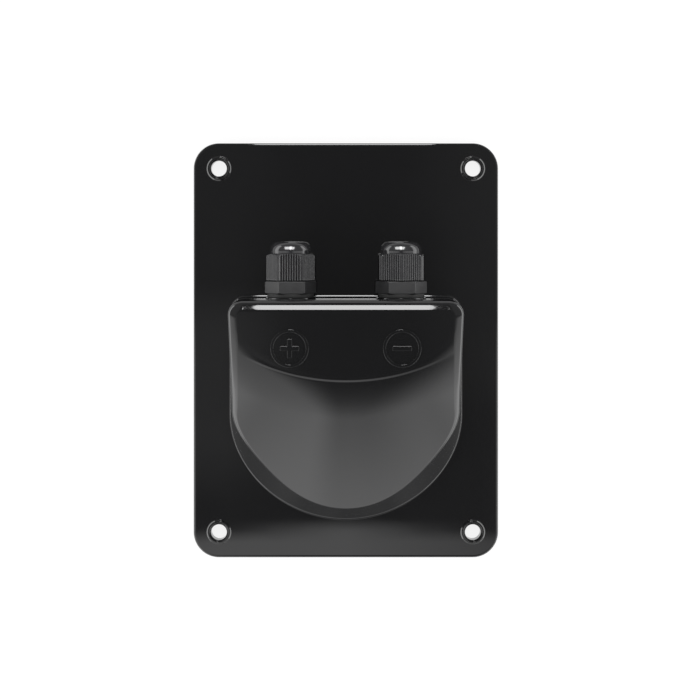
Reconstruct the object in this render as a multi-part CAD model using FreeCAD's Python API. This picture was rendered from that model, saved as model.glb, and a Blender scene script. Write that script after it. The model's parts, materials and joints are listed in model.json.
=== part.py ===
"""Weatherproof cable entry housing: a flange plate with a D-shaped dome and two cable glands.

Millimetres. The origin is the middle of the plate's underside, +Z points out of the roof or wall
that the plate is screwed to, and +Y points the way the glands face.
"""

import FreeCAD, Part
import math
import os

from FreeCAD import Vector

# Flange plate: how far it stands out around the dome, and its section
front_ledge = 67.0
rear_ledge = 16.9
side_ledge = 15.95
plate_height = 6.0
plate_corner_radius = 11.0
plate_edge_radius = 1.2
plate_skin = 2.8
lip_width = 2.6
rib_width = 1.8
rib_gap = 31.0
rib_drop = 0.8
rib_least_space = 8.0

# Screw holes, each in a low raised rim on top and a boss underneath
hole_diameter = 6.8
hole_inset = 11.0
sink_width = 1.05
sink_depth = 0.7
rim_land = 1.15
rim_slope = 0.7
rim_height = 0.45
boss_wall = 2.6

# Dome: straight front wall, two corners, straight sides and a half-elliptic tail
dome_side_length = 50.6
tail_length = 45.5
dome_corner_radius = 6.5
wall = 2.8
tail_edge_height = 8.5

# How far the walls lean in, the sides draw together and the shoulders move forward over the rise
side_lean = 1.0
side_taper = 1.5
tail_lean = 21.0
shoulder_shift = 5.6

# How much flatter than an ellipse the tail's outline is between shoulder and tip
foot_flatness = 0.01
head_flatness = 0.12

# Crown of the dome: level inside an ellipse centred on the front wall, then falling to the tail
level_overhang = 0.3
level_length = 32.0
fall_blend = 16.0

# Rounded edges of the dome
front_edge_radius = 5.0
tail_edge_radius = 0.8
front_foot_radius = 1.5
foot_radius = 0.5
least_radius = 0.7

# Raised polarity marks on the crown
mark_ring_diameter = 16.0
mark_ring_width = 1.2
mark_bar_length = 8.0
mark_bar_width = 2.0
mark_height = 0.5
mark_back = 20.5

# Places of the cable glands in the dome
gland_spacing = 47.2
gland_foot_space = 3.8
gland_crown_space = 2.0
gland_side_space = 10.6
seat_margin = 0.7
inner_seat_margin = 0.5
seat_height = 0.25

# Sealing insert: the rubber sleeve that the cable passes through
insert_bore = 8.0
insert_wall = 1.35
insert_seat_depth = 6.4
insert_stand_out = 1.0
insert_step = 0.4

# Gland body: shank, hexagon, neck and clamping fingers
finger_wall = 0.9
finger_count = 8
finger_slot = 1.0
finger_length = 5.0
neck_step = 1.3
neck_length = 8.0
hex_ledge = 2.0
hex_length = 5.3
hex_chamfer = 0.4
left_hex_turn = 4.4
right_hex_turn = 1.3
shank_spare = 0.6

# Washer outside the wall and lock nut inside it
washer_width = 2.4
washer_thickness = 1.8
lock_nut_wall = 3.4
lock_nut_thickness = 5.0

# Dome nut
nut_wall = 1.75
nut_end_length = 2.55
nut_throat_length = 1.25
nut_throat_step = 0.4
nut_end_land = 0.55
nut_dome_length = 5.1
nut_dome_inset = 0.65
nut_dome_rim = 0.46
nut_dome_bulge = 1.39
nut_chamfer = 1.25
nut_cone_lead = 0.6
grip_rib_pitch = 1.07
grip_rib_height = 0.35
left_nut_turn = 0.0
right_nut_turn = 30.0

# Clearances
running_fit = 0.05
thread_hole_clearance = 0.15
cap_gap = 0.4
seal_gap = 0.1
finger_gap = 0.35

# Spacing and reach of the control points that the dome's skins are drawn through
outline_step = 4.5
edge_steps = 6
crown_steps = 10
crown_reach = 0.88
wall_steps = 3
foot_steps = 3
foot_land = 0.05

# Working values: how far cutters run past a surface, and how closely a place is looked for
overshoot = 1.0
tolerance = 1e-6
halvings = 40
closing_steps = 20
search_radii = 6
slope_step = 0.01
grip_rib_parts = 5

# Diameters of the gland's pieces, from the cable outwards
insert_diameter = insert_bore + 2 * insert_wall
finger_bore = insert_diameter + 2 * running_fit
finger_diameter = finger_bore + 2 * finger_wall
body_bore = finger_bore - 2 * insert_step
thread_diameter = finger_diameter + 2 * neck_step
hex_across_flats = thread_diameter + 2 * hex_ledge
washer_diameter = thread_diameter + 2 * washer_width
seat_diameter = washer_diameter + 2 * seat_margin
lock_nut_across_flats = thread_diameter + 2 * lock_nut_wall
inner_seat_radius = lock_nut_across_flats / math.sqrt(3) + inner_seat_margin
nut_across_flats = thread_diameter + 2 * (running_fit + nut_wall)
nut_dome_base = nut_across_flats - 2 * nut_dome_inset
nut_throat = insert_bore + 2 * nut_throat_step
nut_end_diameter = nut_throat + 2 * nut_end_land

# Dome and plate around the glands
gland_axis_height = seat_diameter / 2 + gland_foot_space
dome_rise = gland_axis_height + inner_seat_radius + gland_crown_space + wall
dome_half_width = gland_spacing / 2 + inner_seat_radius + gland_side_space + wall
level_half_width = dome_half_width + level_overhang
plate_width = 2 * (dome_half_width + side_ledge)
plate_length = front_ledge + dome_side_length + tail_length + rear_ledge
dome_front = plate_length / 2 - front_ledge
shoulder_y = dome_front - dome_side_length
gland_axis_z = plate_height + gland_axis_height

# Steepness of the crown's fall, so that it meets the tail wall at its edge height
tail_edge_y = shoulder_y - tail_length + tail_lean * tail_edge_height / dome_rise
tail_reach = (dome_front - tail_edge_y) / level_length - 1
crown_blend = fall_blend / level_length
crown_fall = (dome_rise - tail_edge_height) / (tail_reach - crown_blend / 2)

# Places along each gland's axis
seat_y = dome_front + seat_height
hex_y = seat_y + washer_thickness
neck_y = hex_y + hex_length
finger_y = neck_y + neck_length
finger_end_y = finger_y + finger_length
insert_seat_y = finger_y - insert_seat_depth
insert_start_y = insert_seat_y + seal_gap
insert_end_y = finger_end_y + insert_stand_out
cap_y = neck_y + cap_gap
cap_end_y = insert_end_y + finger_gap + nut_end_length
cap_ribbed_end_y = cap_end_y - nut_dome_length
inner_seat_y = dome_front - wall - seat_height
shank_end_y = inner_seat_y - lock_nut_thickness - shank_spare

# Screw hole widths
sink_diameter = hole_diameter + 2 * sink_width
rim_diameter = sink_diameter + 2 * rim_land


def polygon_face(points):
    """Flat face inside a closed run of straight edges."""
    return Part.Face(Part.makePolygon(points + [points[0]]))


def revolved(face):
    """Solid of revolution of a face about the Y axis."""
    return face.revolve(Vector(0, 0, 0), Vector(0, 1, 0), 360)


def turned(profile):
    """Solid of revolution about the Y axis, from (radius, y) corners."""
    return revolved(polygon_face([Vector(radius, y, 0) for radius, y in profile]))


def turn_about_axis(shape, degrees):
    """Turn a piece about its own axis, in place."""
    shape.rotate(Vector(0, 0, 0), Vector(0, 1, 0), degrees)


def cylinder_y(diameter, start, end):
    """Cylinder along Y from start to end."""
    return Part.makeCylinder(diameter / 2, end - start, Vector(0, start, 0), Vector(0, 1, 0))


def hexagon_prism(across_flats, start, end):
    """Hexagonal bar along Y with a flat facing +Z."""
    radius = across_flats / math.sqrt(3)
    corners = []
    for i in range(6):
        angle = math.radians(60 * i)
        corners.append(Vector(radius * math.cos(angle), start, radius * math.sin(angle)))
    return polygon_face(corners).extrude(Vector(0, end - start, 0))


def chamfered_hexagon(across_flats, start, end, both_ends):
    """Hexagonal bar with its corners turned off at 45 degrees at its start, and at its end if asked."""
    corner = across_flats / math.sqrt(3)
    inner = corner - hex_chamfer
    outer = corner + hex_chamfer
    profile = [(0, start), (inner, start), (outer, start + 2 * hex_chamfer)]
    if both_ends:
        profile += [(outer, end - 2 * hex_chamfer), (inner, end), (0, end)]
    else:
        profile += [(outer, end), (0, end)]
    return hexagon_prism(across_flats, start, end).common(turned(profile))


def rounded_block(width, length, radius, bottom, top):
    """Upright block centred on Z, with rounded corners."""
    block = Part.makeBox(width, length, top - bottom, Vector(-width / 2, -length / 2, bottom))
    height = top - bottom
    corners = [edge for edge in block.Edges if abs(edge.BoundBox.ZLength - height) < tolerance]
    return block.makeFillet(radius, corners)


class DomeSkin:
    """One skin of the dome. The outer one has no inset, and the cavity's is inset by the wall."""

    def __init__(self, inset):
        self.inset = inset
        self.half_width = dome_half_width - inset
        self.front = dome_front - inset
        self.corner = max(dome_corner_radius - inset, 2 * least_radius)
        self.tail = tail_length - inset
        widest = self.corner - least_radius
        self.edge_front = min(max(front_edge_radius - inset, least_radius), widest)
        self.edge_tail = max(tail_edge_radius - inset, tail_edge_radius / 2)
        self.counts = self.point_counts()
        self.foot = self.half_outline(0.0)
        self.head = self.half_outline(1.0)

    def point_counts(self):
        """How many points the front, corner, side and tail take, the same for both skins."""
        side = dome_side_length - dome_corner_radius
        tail = math.pi / 2 * math.sqrt((dome_half_width**2 + tail_length**2) / 2)
        lengths = (dome_half_width - dome_corner_radius, math.pi / 2 * dome_corner_radius, side, tail)
        return [max(4, round(length / outline_step)) for length in lengths]

    def half_outline(self, share):
        """Right half of the wall's outline at a share of the rise, from front middle to tail tip."""
        half_width = self.half_width - side_lean * share
        taper = side_taper * share
        straight = half_width - self.corner
        corner_y = self.front - self.corner
        shoulder = shoulder_y + shoulder_shift * share
        tail = self.tail + (shoulder_shift - tail_lean) * share
        flatness = foot_flatness + (head_flatness - foot_flatness) * share
        front_count, corner_count, side_count, tail_count = self.counts
        points = [(straight * i / front_count, self.front) for i in range(front_count)]
        for i in range(corner_count):
            angle = math.pi / 2 * (1 - i / corner_count)
            x = straight + self.corner * math.cos(angle)
            points.append((x, corner_y + self.corner * math.sin(angle)))
        for i in range(side_count):
            along = i / side_count
            points.append((half_width - taper * along, corner_y + (shoulder - corner_y) * along))
        for i in range(tail_count + 1):
            angle = math.pi / 2 * i / tail_count
            reach = 1 - flatness * math.sin(2 * angle) ** 2
            x = (half_width - taper) * reach * math.cos(angle)
            points.append((x, shoulder - tail * reach * math.sin(angle)))
        return points

    def crown_height(self, x, y):
        """Height of this skin's crown above the plate's top face."""
        top = dome_rise - self.inset
        reach = math.hypot(x / level_half_width, (dome_front - y) / level_length) - 1
        if reach <= 0:
            return top
        if reach < crown_blend:
            return top - crown_fall * reach**2 / (2 * crown_blend)
        return top - crown_fall * (reach - crown_blend / 2)

    def wall_point(self, i, height):
        """Plan position of outline point i at a height on the wall."""
        share = height / dome_rise
        foot_x, foot_y = self.foot[i]
        head_x, head_y = self.head[i]
        return foot_x + (head_x - foot_x) * share, foot_y + (head_y - foot_y) * share

    def outward(self, i, height):
        """Unit plan direction that points straight out of the wall at outline point i."""
        if i == 0:
            return 0.0, 1.0
        if i == len(self.foot) - 1:
            return 0.0, -1.0
        ahead_x, ahead_y = self.wall_point(i + 1, height)
        behind_x, behind_y = self.wall_point(i - 1, height)
        run_x, run_y = ahead_x - behind_x, ahead_y - behind_y
        length = math.hypot(run_x, run_y)
        return -run_y / length, run_x / length

    def edge_height(self, i):
        """Height where the wall meets the crown, found by halving."""
        low, high = 0.0, dome_rise
        for _ in range(halvings):
            middle = (low + high) / 2
            if middle < self.crown_height(*self.wall_point(i, middle)):
                low = middle
            else:
                high = middle
        return low

    def edge_radius(self, height, tail_height):
        """Edge radius: largest where the edge is highest, smallest at the tail."""
        share = (height - tail_height) / (dome_rise - self.inset - tail_height)
        share = min(1.0, max(0.0, share))
        smooth = share * share * (3 - 2 * share)
        return self.edge_tail + (self.edge_front - self.edge_tail) * smooth

    def edge_arc(self, i, radius):
        """Rounded edge at outline point i: tangent to the wall and to the crown, from wall to crown."""
        edge = self.edge_height(i)
        out_x, out_y = self.outward(i, edge)
        foot_x, foot_y = self.wall_point(i, 0.0)
        high_x, high_y = self.wall_point(i, dome_rise)
        lean = -((high_x - foot_x) * out_x + (high_y - foot_y) * out_y) / dome_rise
        size = math.hypot(1.0, lean)
        base_x, base_y = self.wall_point(i, edge)

        def crown_at(depth):
            return self.crown_height(base_x - out_x * depth, base_y - out_y * depth)

        def crown_slope(depth):
            return (crown_at(depth + slope_step) - crown_at(depth - slope_step)) / (2 * slope_step)

        def centre_for(height):
            return (height - edge) * lean + radius / size, height - radius * lean / size

        def nearest_on_crown(depth, height):
            near = depth
            for _ in range(closing_steps):
                near = depth - (crown_at(near) - height) * crown_slope(near)
            return near

        low, high = edge - search_radii * radius, edge
        for _ in range(halvings):
            middle = (low + high) / 2
            depth, height = centre_for(middle)
            near = nearest_on_crown(depth, height)
            if math.hypot(near - depth, crown_at(near) - height) > radius:
                low = middle
            else:
                high = middle
        depth, height = centre_for(low)
        near = nearest_on_crown(depth, height)
        start = math.pi - math.atan(lean)
        stop = math.atan2(crown_at(near) - height, near - depth)
        points = []
        for j in range(edge_steps + 1):
            angle = start + (stop - start) * j / edge_steps
            along = depth + radius * math.cos(angle)
            up = height + radius * math.sin(angle)
            points.append((base_x - out_x * along, base_y - out_y * along, up))
        return points

    def column(self, i, tail_height):
        """Points of one section through the skin, from its foot to the level middle of its crown."""
        radius = self.edge_radius(self.edge_height(i), tail_height)
        arc = self.edge_arc(i, radius)
        points = self.cavity_foot(i) if self.inset else self.outer_foot(i)
        low = points[-1][2]
        for j in range(1, wall_steps + 1):
            height = low + (arc[0][2] - low) * j / (wall_steps + 1)
            points.append((*self.wall_point(i, height), height))
        points += arc
        end_x, end_y = arc[-1][0], arc[-1][1]
        middle_y = dome_front - level_length / 2
        for j in range(1, crown_steps + 1):
            share = crown_reach * j / crown_steps
            x = end_x * (1 - share)
            y = end_y + (middle_y - end_y) * share
            points.append((x, y, self.crown_height(x, y)))
        return points

    def cavity_foot(self, i):
        """Foot of the cavity: a straight run that starts below the base."""
        x, y = self.wall_point(i, 0.0)
        return [(x, y, -plate_height - overshoot), (x, y, -plate_height / 2), (x, y, 0.0)]

    def foot_fillet(self, i):
        """Radius of the foot's fillet: wider along the front wall, easing off round its corners."""
        front_count, corner_count, _, _ = self.counts
        share = min(1.0, max(0.0, (i - front_count) / corner_count))
        return front_foot_radius + (foot_radius - front_foot_radius) * share

    def outer_foot(self, i):
        """Foot of the outer skin: a root inside the plate, then the hollow fillet."""
        radius = self.foot_fillet(i)
        x, y = self.wall_point(i, 0.0)
        out_x, out_y = self.outward(i, 0.0)
        x, y = x + out_x * radius, y + out_y * radius
        points = [(x, y, -plate_skin / 2), (x, y, -plate_skin / 6)]
        for j in range(foot_steps + 1):
            angle = math.pi / 2 * j / foot_steps
            height = foot_land + radius * (1 - math.cos(angle))
            out = radius * (1 - math.sin(angle))
            x, y = self.wall_point(i, height)
            out_x, out_y = self.outward(i, height)
            points.append((x + out_x * out, y + out_y * out, height))
        return points

    def solid(self):
        """Closed solid inside this skin: the smooth skin, a level cap on top and a flat base."""
        last = len(self.foot) - 1
        tail_height = self.edge_height(last)
        right = [self.column(i, tail_height) for i in range(last + 1)]
        left = [[(-x, y, z) for x, y, z in column] for column in right[-2:0:-1]]
        poles = []
        for column in right + left:
            poles.append([Vector(x, y, plate_height + z) for x, y, z in column])
        degree = 3
        spans = len(poles[0]) - degree
        surface = Part.BSplineSurface()
        surface.buildFromPolesMultsKnots(
            poles,
            [1] * (len(poles) + 1),
            [degree + 1] + [1] * (spans - 1) + [degree + 1],
            list(range(len(poles) + 1)),
            list(range(spans + 1)),
            True,
            False,
            degree,
            degree,
        )
        skin = surface.toShape()
        rings = [edge for edge in skin.Edges if len(edge.Vertexes) == 1]
        caps = [Part.Face(Part.Wire([ring])) for ring in rings]
        shell = Part.Shell([skin] + caps)
        shell.sewShape()
        return Part.Solid(shell)


def plate_body():
    """Flange plate with its rounded top edge, before anything is cut from it."""
    block = rounded_block(plate_width, plate_length, plate_corner_radius, 0, plate_height)
    top_edges = [edge for edge in block.Edges if edge.BoundBox.ZMin > plate_height - tolerance]
    return block.makeFillet(plate_edge_radius, top_edges)


def hole_places():
    """Centres of the four screw holes."""
    x = plate_width / 2 - hole_inset
    y = plate_length / 2 - hole_inset
    return [Vector(sx * x, sy * y, 0) for sx in (-1, 1) for sy in (-1, 1)]


def hole_rim(centre):
    """Low raised rim with a sloped flank around a screw hole."""
    base = Vector(0, 0, plate_height - rim_height)
    rim = Part.makeCone(rim_diameter / 2 + rim_slope, rim_diameter / 2, 2 * rim_height, base)
    rim.translate(centre)
    return rim


def hole_cut(centre):
    """Screw hole with its countersink."""
    top = plate_height + rim_height
    hole = Part.makeCylinder(hole_diameter / 2, top + 2 * overshoot, Vector(0, 0, -overshoot))
    base = Vector(0, 0, top - sink_depth)
    sink = Part.makeCone(hole_diameter / 2, sink_diameter / 2, sink_depth, base)
    cut = hole.fuse(sink)
    cut.translate(centre)
    return cut


def rib_places(half_length):
    """Evenly spaced rib centres either side of the middle, clear of the lip."""
    count = int((half_length - lip_width - rib_least_space) / rib_gap)
    return [i * rib_gap for i in range(-count, count + 1)]


def rib_bars():
    """Stiffening ribs under the plate: a grid of upright bars that stop short of the base plane."""
    height = plate_height - plate_skin / 2 - rib_drop
    bars = []
    for x in rib_places(plate_width / 2):
        corner = Vector(x - rib_width / 2, -plate_length / 2 + lip_width / 2, rib_drop)
        bars.append(Part.makeBox(rib_width, plate_length - lip_width, height, corner))
    for y in rib_places(plate_length / 2):
        corner = Vector(-plate_width / 2 + lip_width / 2, y - rib_width / 2, rib_drop)
        bars.append(Part.makeBox(plate_width - lip_width, rib_width, height, corner))
    return bars[0].fuse(bars[1:])


def tail_curve():
    """Half ellipse around the tail, from shoulder to shoulder, at the foot."""
    centre = Vector(0, shoulder_y, 0)
    across = Vector(dome_half_width, shoulder_y, 0)
    tip = Vector(0, shoulder_y - tail_length, 0)
    if tail_length > dome_half_width:
        return Part.Ellipse(tip, across, centre).toShape(-math.pi / 2, math.pi / 2)
    return Part.Ellipse(across, tip, centre).toShape(0, math.pi)


def opening_rim():
    """Upright rim around the dome's opening, in line with the outside of its walls."""
    straight = dome_half_width - dome_corner_radius
    corner_y = dome_front - dome_corner_radius
    reach = dome_corner_radius * math.sqrt(0.5)
    edges = [Part.makeLine(Vector(-straight, dome_front, 0), Vector(straight, dome_front, 0))]
    for side in (1, -1):
        start = Vector(side * straight, dome_front, 0)
        middle = Vector(side * (straight + reach), corner_y + reach, 0)
        stop = Vector(side * dome_half_width, corner_y, 0)
        shoulder = Vector(side * dome_half_width, shoulder_y, 0)
        edges.append(Part.Arc(start, middle, stop).toShape())
        edges.append(Part.makeLine(stop, shoulder))
    edges.append(tail_curve())
    face = Part.Face(Part.Wire(Part.__sortEdges__(edges)))
    rim = face.extrude(Vector(0, 0, plate_height - plate_skin / 2 + 2 * overshoot))
    rim.translate(Vector(0, 0, -2 * overshoot))
    return rim


def underside_pocket():
    """Space under the plate's skin, around the opening's rim, the bosses and the ribs."""
    pocket = rounded_block(
        plate_width - 2 * lip_width,
        plate_length - 2 * lip_width,
        max(plate_corner_radius - lip_width, least_radius),
        -overshoot,
        plate_height - plate_skin,
    )
    bosses = []
    for centre in hole_places():
        base = Vector(0, 0, -2 * overshoot)
        boss = Part.makeCylinder(hole_diameter / 2 + boss_wall, plate_height + 2 * overshoot, base)
        boss.translate(centre)
        bosses.append(boss)
    return pocket.cut(rib_bars()).cut(bosses).cut(opening_rim())


def gland_xs():
    """X of the left and right gland axes."""
    return -gland_spacing / 2, gland_spacing / 2


def at_gland(shape, x):
    """A piece built about the Y axis, moved to one gland's axis."""
    shape.translate(Vector(x, 0, gland_axis_z))
    return shape


def outer_seat(x):
    """Flat round seat for the washer on the front wall."""
    return at_gland(cylinder_y(seat_diameter, dome_front - wall / 2, seat_y), x)


def inner_seat(x):
    """Flat round seat for the lock nut inside the front wall."""
    return at_gland(cylinder_y(2 * inner_seat_radius, inner_seat_y, dome_front), x)


def gland_hole(x):
    """Hole for the gland's shank through the front wall."""
    diameter = thread_diameter + 2 * thread_hole_clearance
    return at_gland(cylinder_y(diameter, inner_seat_y - overshoot, seat_y + overshoot), x)


def mark_ring(x, bars):
    """Raised ring with a raised sign inside it, on the level part of the crown."""
    base = Vector(0, 0, plate_height + dome_rise - mark_height)
    height = 2 * mark_height
    ring = Part.makeCylinder(mark_ring_diameter / 2, height, base)
    ring = ring.cut(Part.makeCylinder(mark_ring_diameter / 2 - mark_ring_width, height, base))
    for length, width in bars:
        ring = ring.fuse(Part.makeBox(length, width, height, base - Vector(length / 2, width / 2, 0)))
    ring.translate(Vector(x, dome_front - mark_back, 0))
    return ring


def housing_shell():
    """The whole moulding: plate, dome, cavity, seats, holes, ribs and raised marks."""
    left_x, right_x = gland_xs()
    plus_bars = [(mark_bar_length, mark_bar_width), (mark_bar_width, mark_bar_length)]
    minus_bar = [(mark_bar_length, mark_bar_width)]
    plate = plate_body().cut(underside_pocket())
    raised = [outer_seat(left_x), outer_seat(right_x)]
    raised += [mark_ring(left_x, plus_bars), mark_ring(right_x, minus_bar)]
    raised += [hole_rim(centre) for centre in hole_places()]
    body = plate.fuse([DomeSkin(0.0).solid()] + raised)
    cavity = DomeSkin(wall).solid().cut([inner_seat(left_x), inner_seat(right_x)])
    holes = [hole_cut(centre) for centre in hole_places()]
    body = body.cut([cavity, gland_hole(left_x), gland_hole(right_x)] + holes)
    return body.removeSplitter()


def gland_washer():
    """Flat sealing washer between the hexagon and the wall's seat."""
    inner = thread_diameter / 2 + running_fit
    outer = washer_diameter / 2
    return turned([(inner, seat_y), (outer, seat_y), (outer, hex_y), (inner, hex_y)])


def gland_body(turn):
    """Hexagon flange with the shank, the neck for the dome nut and the ring of clamping fingers."""
    hexagon = chamfered_hexagon(hex_across_flats, hex_y, neck_y, True)
    turn_about_axis(hexagon, turn)
    thread = thread_diameter / 2
    bore = body_bore / 2
    finger = finger_diameter / 2
    seat = finger_bore / 2
    stem = turned(
        [
            (bore, shank_end_y),
            (thread - hex_chamfer, shank_end_y),
            (thread, shank_end_y + hex_chamfer),
            (thread, finger_y - hex_chamfer),
            (thread - hex_chamfer, finger_y),
            (finger, finger_y),
            (finger, finger_end_y - finger_wall),
            (finger - finger_wall / 2, finger_end_y),
            (seat, finger_end_y),
            (seat, insert_seat_y),
            (bore, insert_seat_y),
        ]
    )
    through = cylinder_y(finger_bore, insert_seat_y, finger_end_y)
    through = through.fuse(cylinder_y(body_bore, shank_end_y, finger_end_y))
    body = hexagon.cut(through).fuse(stem)
    slots = []
    for i in range(finger_count):
        corner = Vector(-finger_slot / 2, finger_y + finger_slot, 0)
        slot = Part.makeBox(finger_slot, finger_length, finger_diameter, corner)
        turn_about_axis(slot, 360 / finger_count * i)
        slots.append(slot)
    return body.cut(slots).removeSplitter()


def lock_nut():
    """Hexagon nut that clamps the wall from inside."""
    start = inner_seat_y - lock_nut_thickness
    nut = chamfered_hexagon(lock_nut_across_flats, start, inner_seat_y, False)
    bore = thread_diameter + 2 * running_fit
    return nut.cut(cylinder_y(bore, start - overshoot, inner_seat_y + overshoot))


def sealing_insert():
    """Rubber sleeve that the fingers press onto the cable."""
    outer = insert_diameter / 2
    inner = insert_bore / 2
    lead = insert_wall / 3
    return turned(
        [
            (inner, insert_start_y + lead),
            (inner + lead, insert_start_y),
            (outer - lead, insert_start_y),
            (outer, insert_start_y + lead),
            (outer, insert_end_y - lead),
            (outer - lead, insert_end_y),
            (inner + lead, insert_end_y),
            (inner, insert_end_y - lead),
        ]
    )


def ribbed_outline(start):
    """Hexagon with a row of grip ribs on each flat, as corner points at one Y."""
    root = nut_across_flats / 2 - grip_rib_height
    top = nut_across_flats / 2
    count = int(2 * root / math.sqrt(3) / grip_rib_pitch)
    flank = grip_rib_pitch / grip_rib_parts
    points = []
    for side in range(6):
        turn = math.radians(60 * side)
        for j in range(count):
            middle = (j - (count - 1) / 2) * grip_rib_pitch
            for along, out in (
                (middle - 2 * flank, root),
                (middle - flank, top),
                (middle + flank, top),
                (middle + 2 * flank, root),
            ):
                x = along * math.cos(turn) + out * math.sin(turn)
                z = -along * math.sin(turn) + out * math.cos(turn)
                points.append(Vector(x, start, z))
    return points


def ribbed_barrel():
    """Ribbed hexagon of the dome nut, with its corners turned off towards the dome."""
    length = cap_ribbed_end_y - cap_y
    barrel = polygon_face(ribbed_outline(cap_y)).extrude(Vector(0, length, 0))
    corner = nut_across_flats / math.sqrt(3)
    envelope = turned(
        [
            (0, cap_y),
            (corner, cap_y),
            (corner, cap_ribbed_end_y - nut_chamfer),
            (nut_across_flats / 2 - grip_rib_height, cap_ribbed_end_y),
            (0, cap_ribbed_end_y),
        ]
    )
    return barrel.common(envelope)


def nut_dome():
    """Domed end of the dome nut: a short upright rim, then an arc to the flat around the throat."""
    base = Vector(nut_dome_base / 2, cap_ribbed_end_y + nut_dome_rim, 0)
    end = Vector(nut_end_diameter / 2, cap_end_y, 0)
    chord = end - base
    out = Vector(chord.y, -chord.x, 0).normalize()
    curve = Part.Arc(base, base + chord * 0.5 + out * nut_dome_bulge, end).toShape()
    root_y = cap_ribbed_end_y - overshoot
    corners = [end, Vector(0, cap_end_y, 0), Vector(0, root_y, 0), Vector(base.x, root_y, 0), base]
    return revolved(Part.Face(Part.Wire([curve] + Part.makePolygon(corners).Edges)))


def nut_inside():
    """Space inside the dome nut: thread bore, the cone that presses the fingers, and the throat."""
    bore = thread_diameter / 2 + running_fit
    throat = nut_throat / 2
    throat_y = max(cap_end_y - nut_throat_length, insert_end_y + finger_gap)
    return turned(
        [
            (0, cap_y - overshoot),
            (bore, cap_y - overshoot),
            (bore, finger_y + nut_cone_lead),
            (finger_diameter / 2 + finger_gap, finger_end_y + finger_gap),
            (throat, throat_y),
            (throat, cap_end_y + overshoot),
            (0, cap_end_y + overshoot),
        ]
    )


def dome_nut(turn):
    """Ribbed hexagon cap with a domed end, a pressing cone inside and the cable's throat."""
    nut = ribbed_barrel().fuse(nut_dome()).cut(nut_inside())
    turn_about_axis(nut, turn)
    return nut.removeSplitter()


def export(name, shape):
    """Write one node's solid."""
    print(f"{name}: valid {shape.isValid()}, solids {len(shape.Solids)}, volume {shape.Volume:.1f}")
    shape.exportStep(f"parts/{name}.step")


def main():
    """Build and write every node."""
    os.makedirs("parts", exist_ok=True)
    export("housing_shell", housing_shell())
    left_x, right_x = gland_xs()
    sides = (
        ("left", left_x, left_hex_turn, left_nut_turn),
        ("right", right_x, right_hex_turn, right_nut_turn),
    )
    for side, x, hex_turn, nut_turn in sides:
        export(f"{side}_gland_body", at_gland(gland_body(hex_turn), x))
        export(f"{side}_gland_washer", at_gland(gland_washer(), x))
        export(f"{side}_lock_nut", at_gland(lock_nut(), x))
        export(f"{side}_sealing_insert", at_gland(sealing_insert(), x))
        export(f"{side}_dome_nut", at_gland(dome_nut(nut_turn), x))


main()
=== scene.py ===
import json
import logging
import math
from collections.abc import Sequence
from dataclasses import dataclass
from enum import Enum

import bmesh
import bpy
from mathutils import Matrix, Vector


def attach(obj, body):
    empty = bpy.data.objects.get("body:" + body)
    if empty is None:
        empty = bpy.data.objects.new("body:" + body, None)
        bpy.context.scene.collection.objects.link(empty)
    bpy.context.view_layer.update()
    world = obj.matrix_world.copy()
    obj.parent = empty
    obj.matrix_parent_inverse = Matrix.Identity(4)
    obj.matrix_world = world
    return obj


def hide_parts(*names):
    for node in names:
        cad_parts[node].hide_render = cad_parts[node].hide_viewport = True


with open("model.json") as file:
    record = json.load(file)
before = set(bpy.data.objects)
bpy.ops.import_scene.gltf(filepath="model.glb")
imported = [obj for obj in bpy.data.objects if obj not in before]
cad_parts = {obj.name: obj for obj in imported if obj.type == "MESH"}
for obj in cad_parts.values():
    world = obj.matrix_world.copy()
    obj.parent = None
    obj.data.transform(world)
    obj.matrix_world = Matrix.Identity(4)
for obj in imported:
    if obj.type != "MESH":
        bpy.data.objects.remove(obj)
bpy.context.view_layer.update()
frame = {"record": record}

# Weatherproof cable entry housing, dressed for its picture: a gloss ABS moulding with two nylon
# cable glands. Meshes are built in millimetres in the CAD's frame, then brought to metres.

METRES = 0.001
# Attribute of a rib's relief, which the nut's nylon turns into painted shade in valleys and painted sheen on
# crests
RELIEF = "relief"

# Sizes in millimetres that several pieces share
DOME_FRONT = 23.0
GLAND_X = 23.6
GLAND_Z = 20.5

# Rounds of halving that find where two surfaces meet
HALVINGS = 40

Place = tuple[float, float, float]
Point = tuple[float, float]
Ring = list[bmesh.types.BMVert]

log = logging.getLogger("cable_entry_housing")


class Side(Enum):
    """Which of the two glands, by the sign of its X."""

    LEFT = -1
    RIGHT = 1


class Sign(Enum):
    """Polarity sign inside a mark ring."""

    PLUS = "plus"
    MINUS = "minus"


# Working with rings of edges


def ring_edges(bm: bmesh.types.BMesh, ring: Ring) -> list[bmesh.types.BMEdge]:
    """Edges that join a ring's vertices in order.

    Args:
        bm: Mesh that holds the ring.
        ring: Vertices in order around the ring.

    Returns:
        One edge for each vertex, from it to the next.
    """
    return [bm.edges.get((vert, ring[i + 1 - len(ring)])) for i, vert in enumerate(ring)]


def new_ring(bm: bmesh.types.BMesh, places: Sequence[Place]) -> Ring:
    """Closed ring of edges through the given places.

    Args:
        bm: Mesh to add to.
        places: Where each vertex goes, in order.

    Returns:
        The ring's vertices in the same order.
    """
    made = bmesh.ops.create_circle(bm, cap_ends=False, segments=len(places), radius=1.0)["verts"]
    ring = [made[0]]
    last = None
    while len(ring) < len(places):
        here = ring[-1]
        step = [edge.other_vert(here) for edge in here.link_edges if edge.other_vert(here) is not last]
        last = here
        ring.append(step[0])
    for vert, place in zip(ring, places):
        vert.co = place
    return ring


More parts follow.
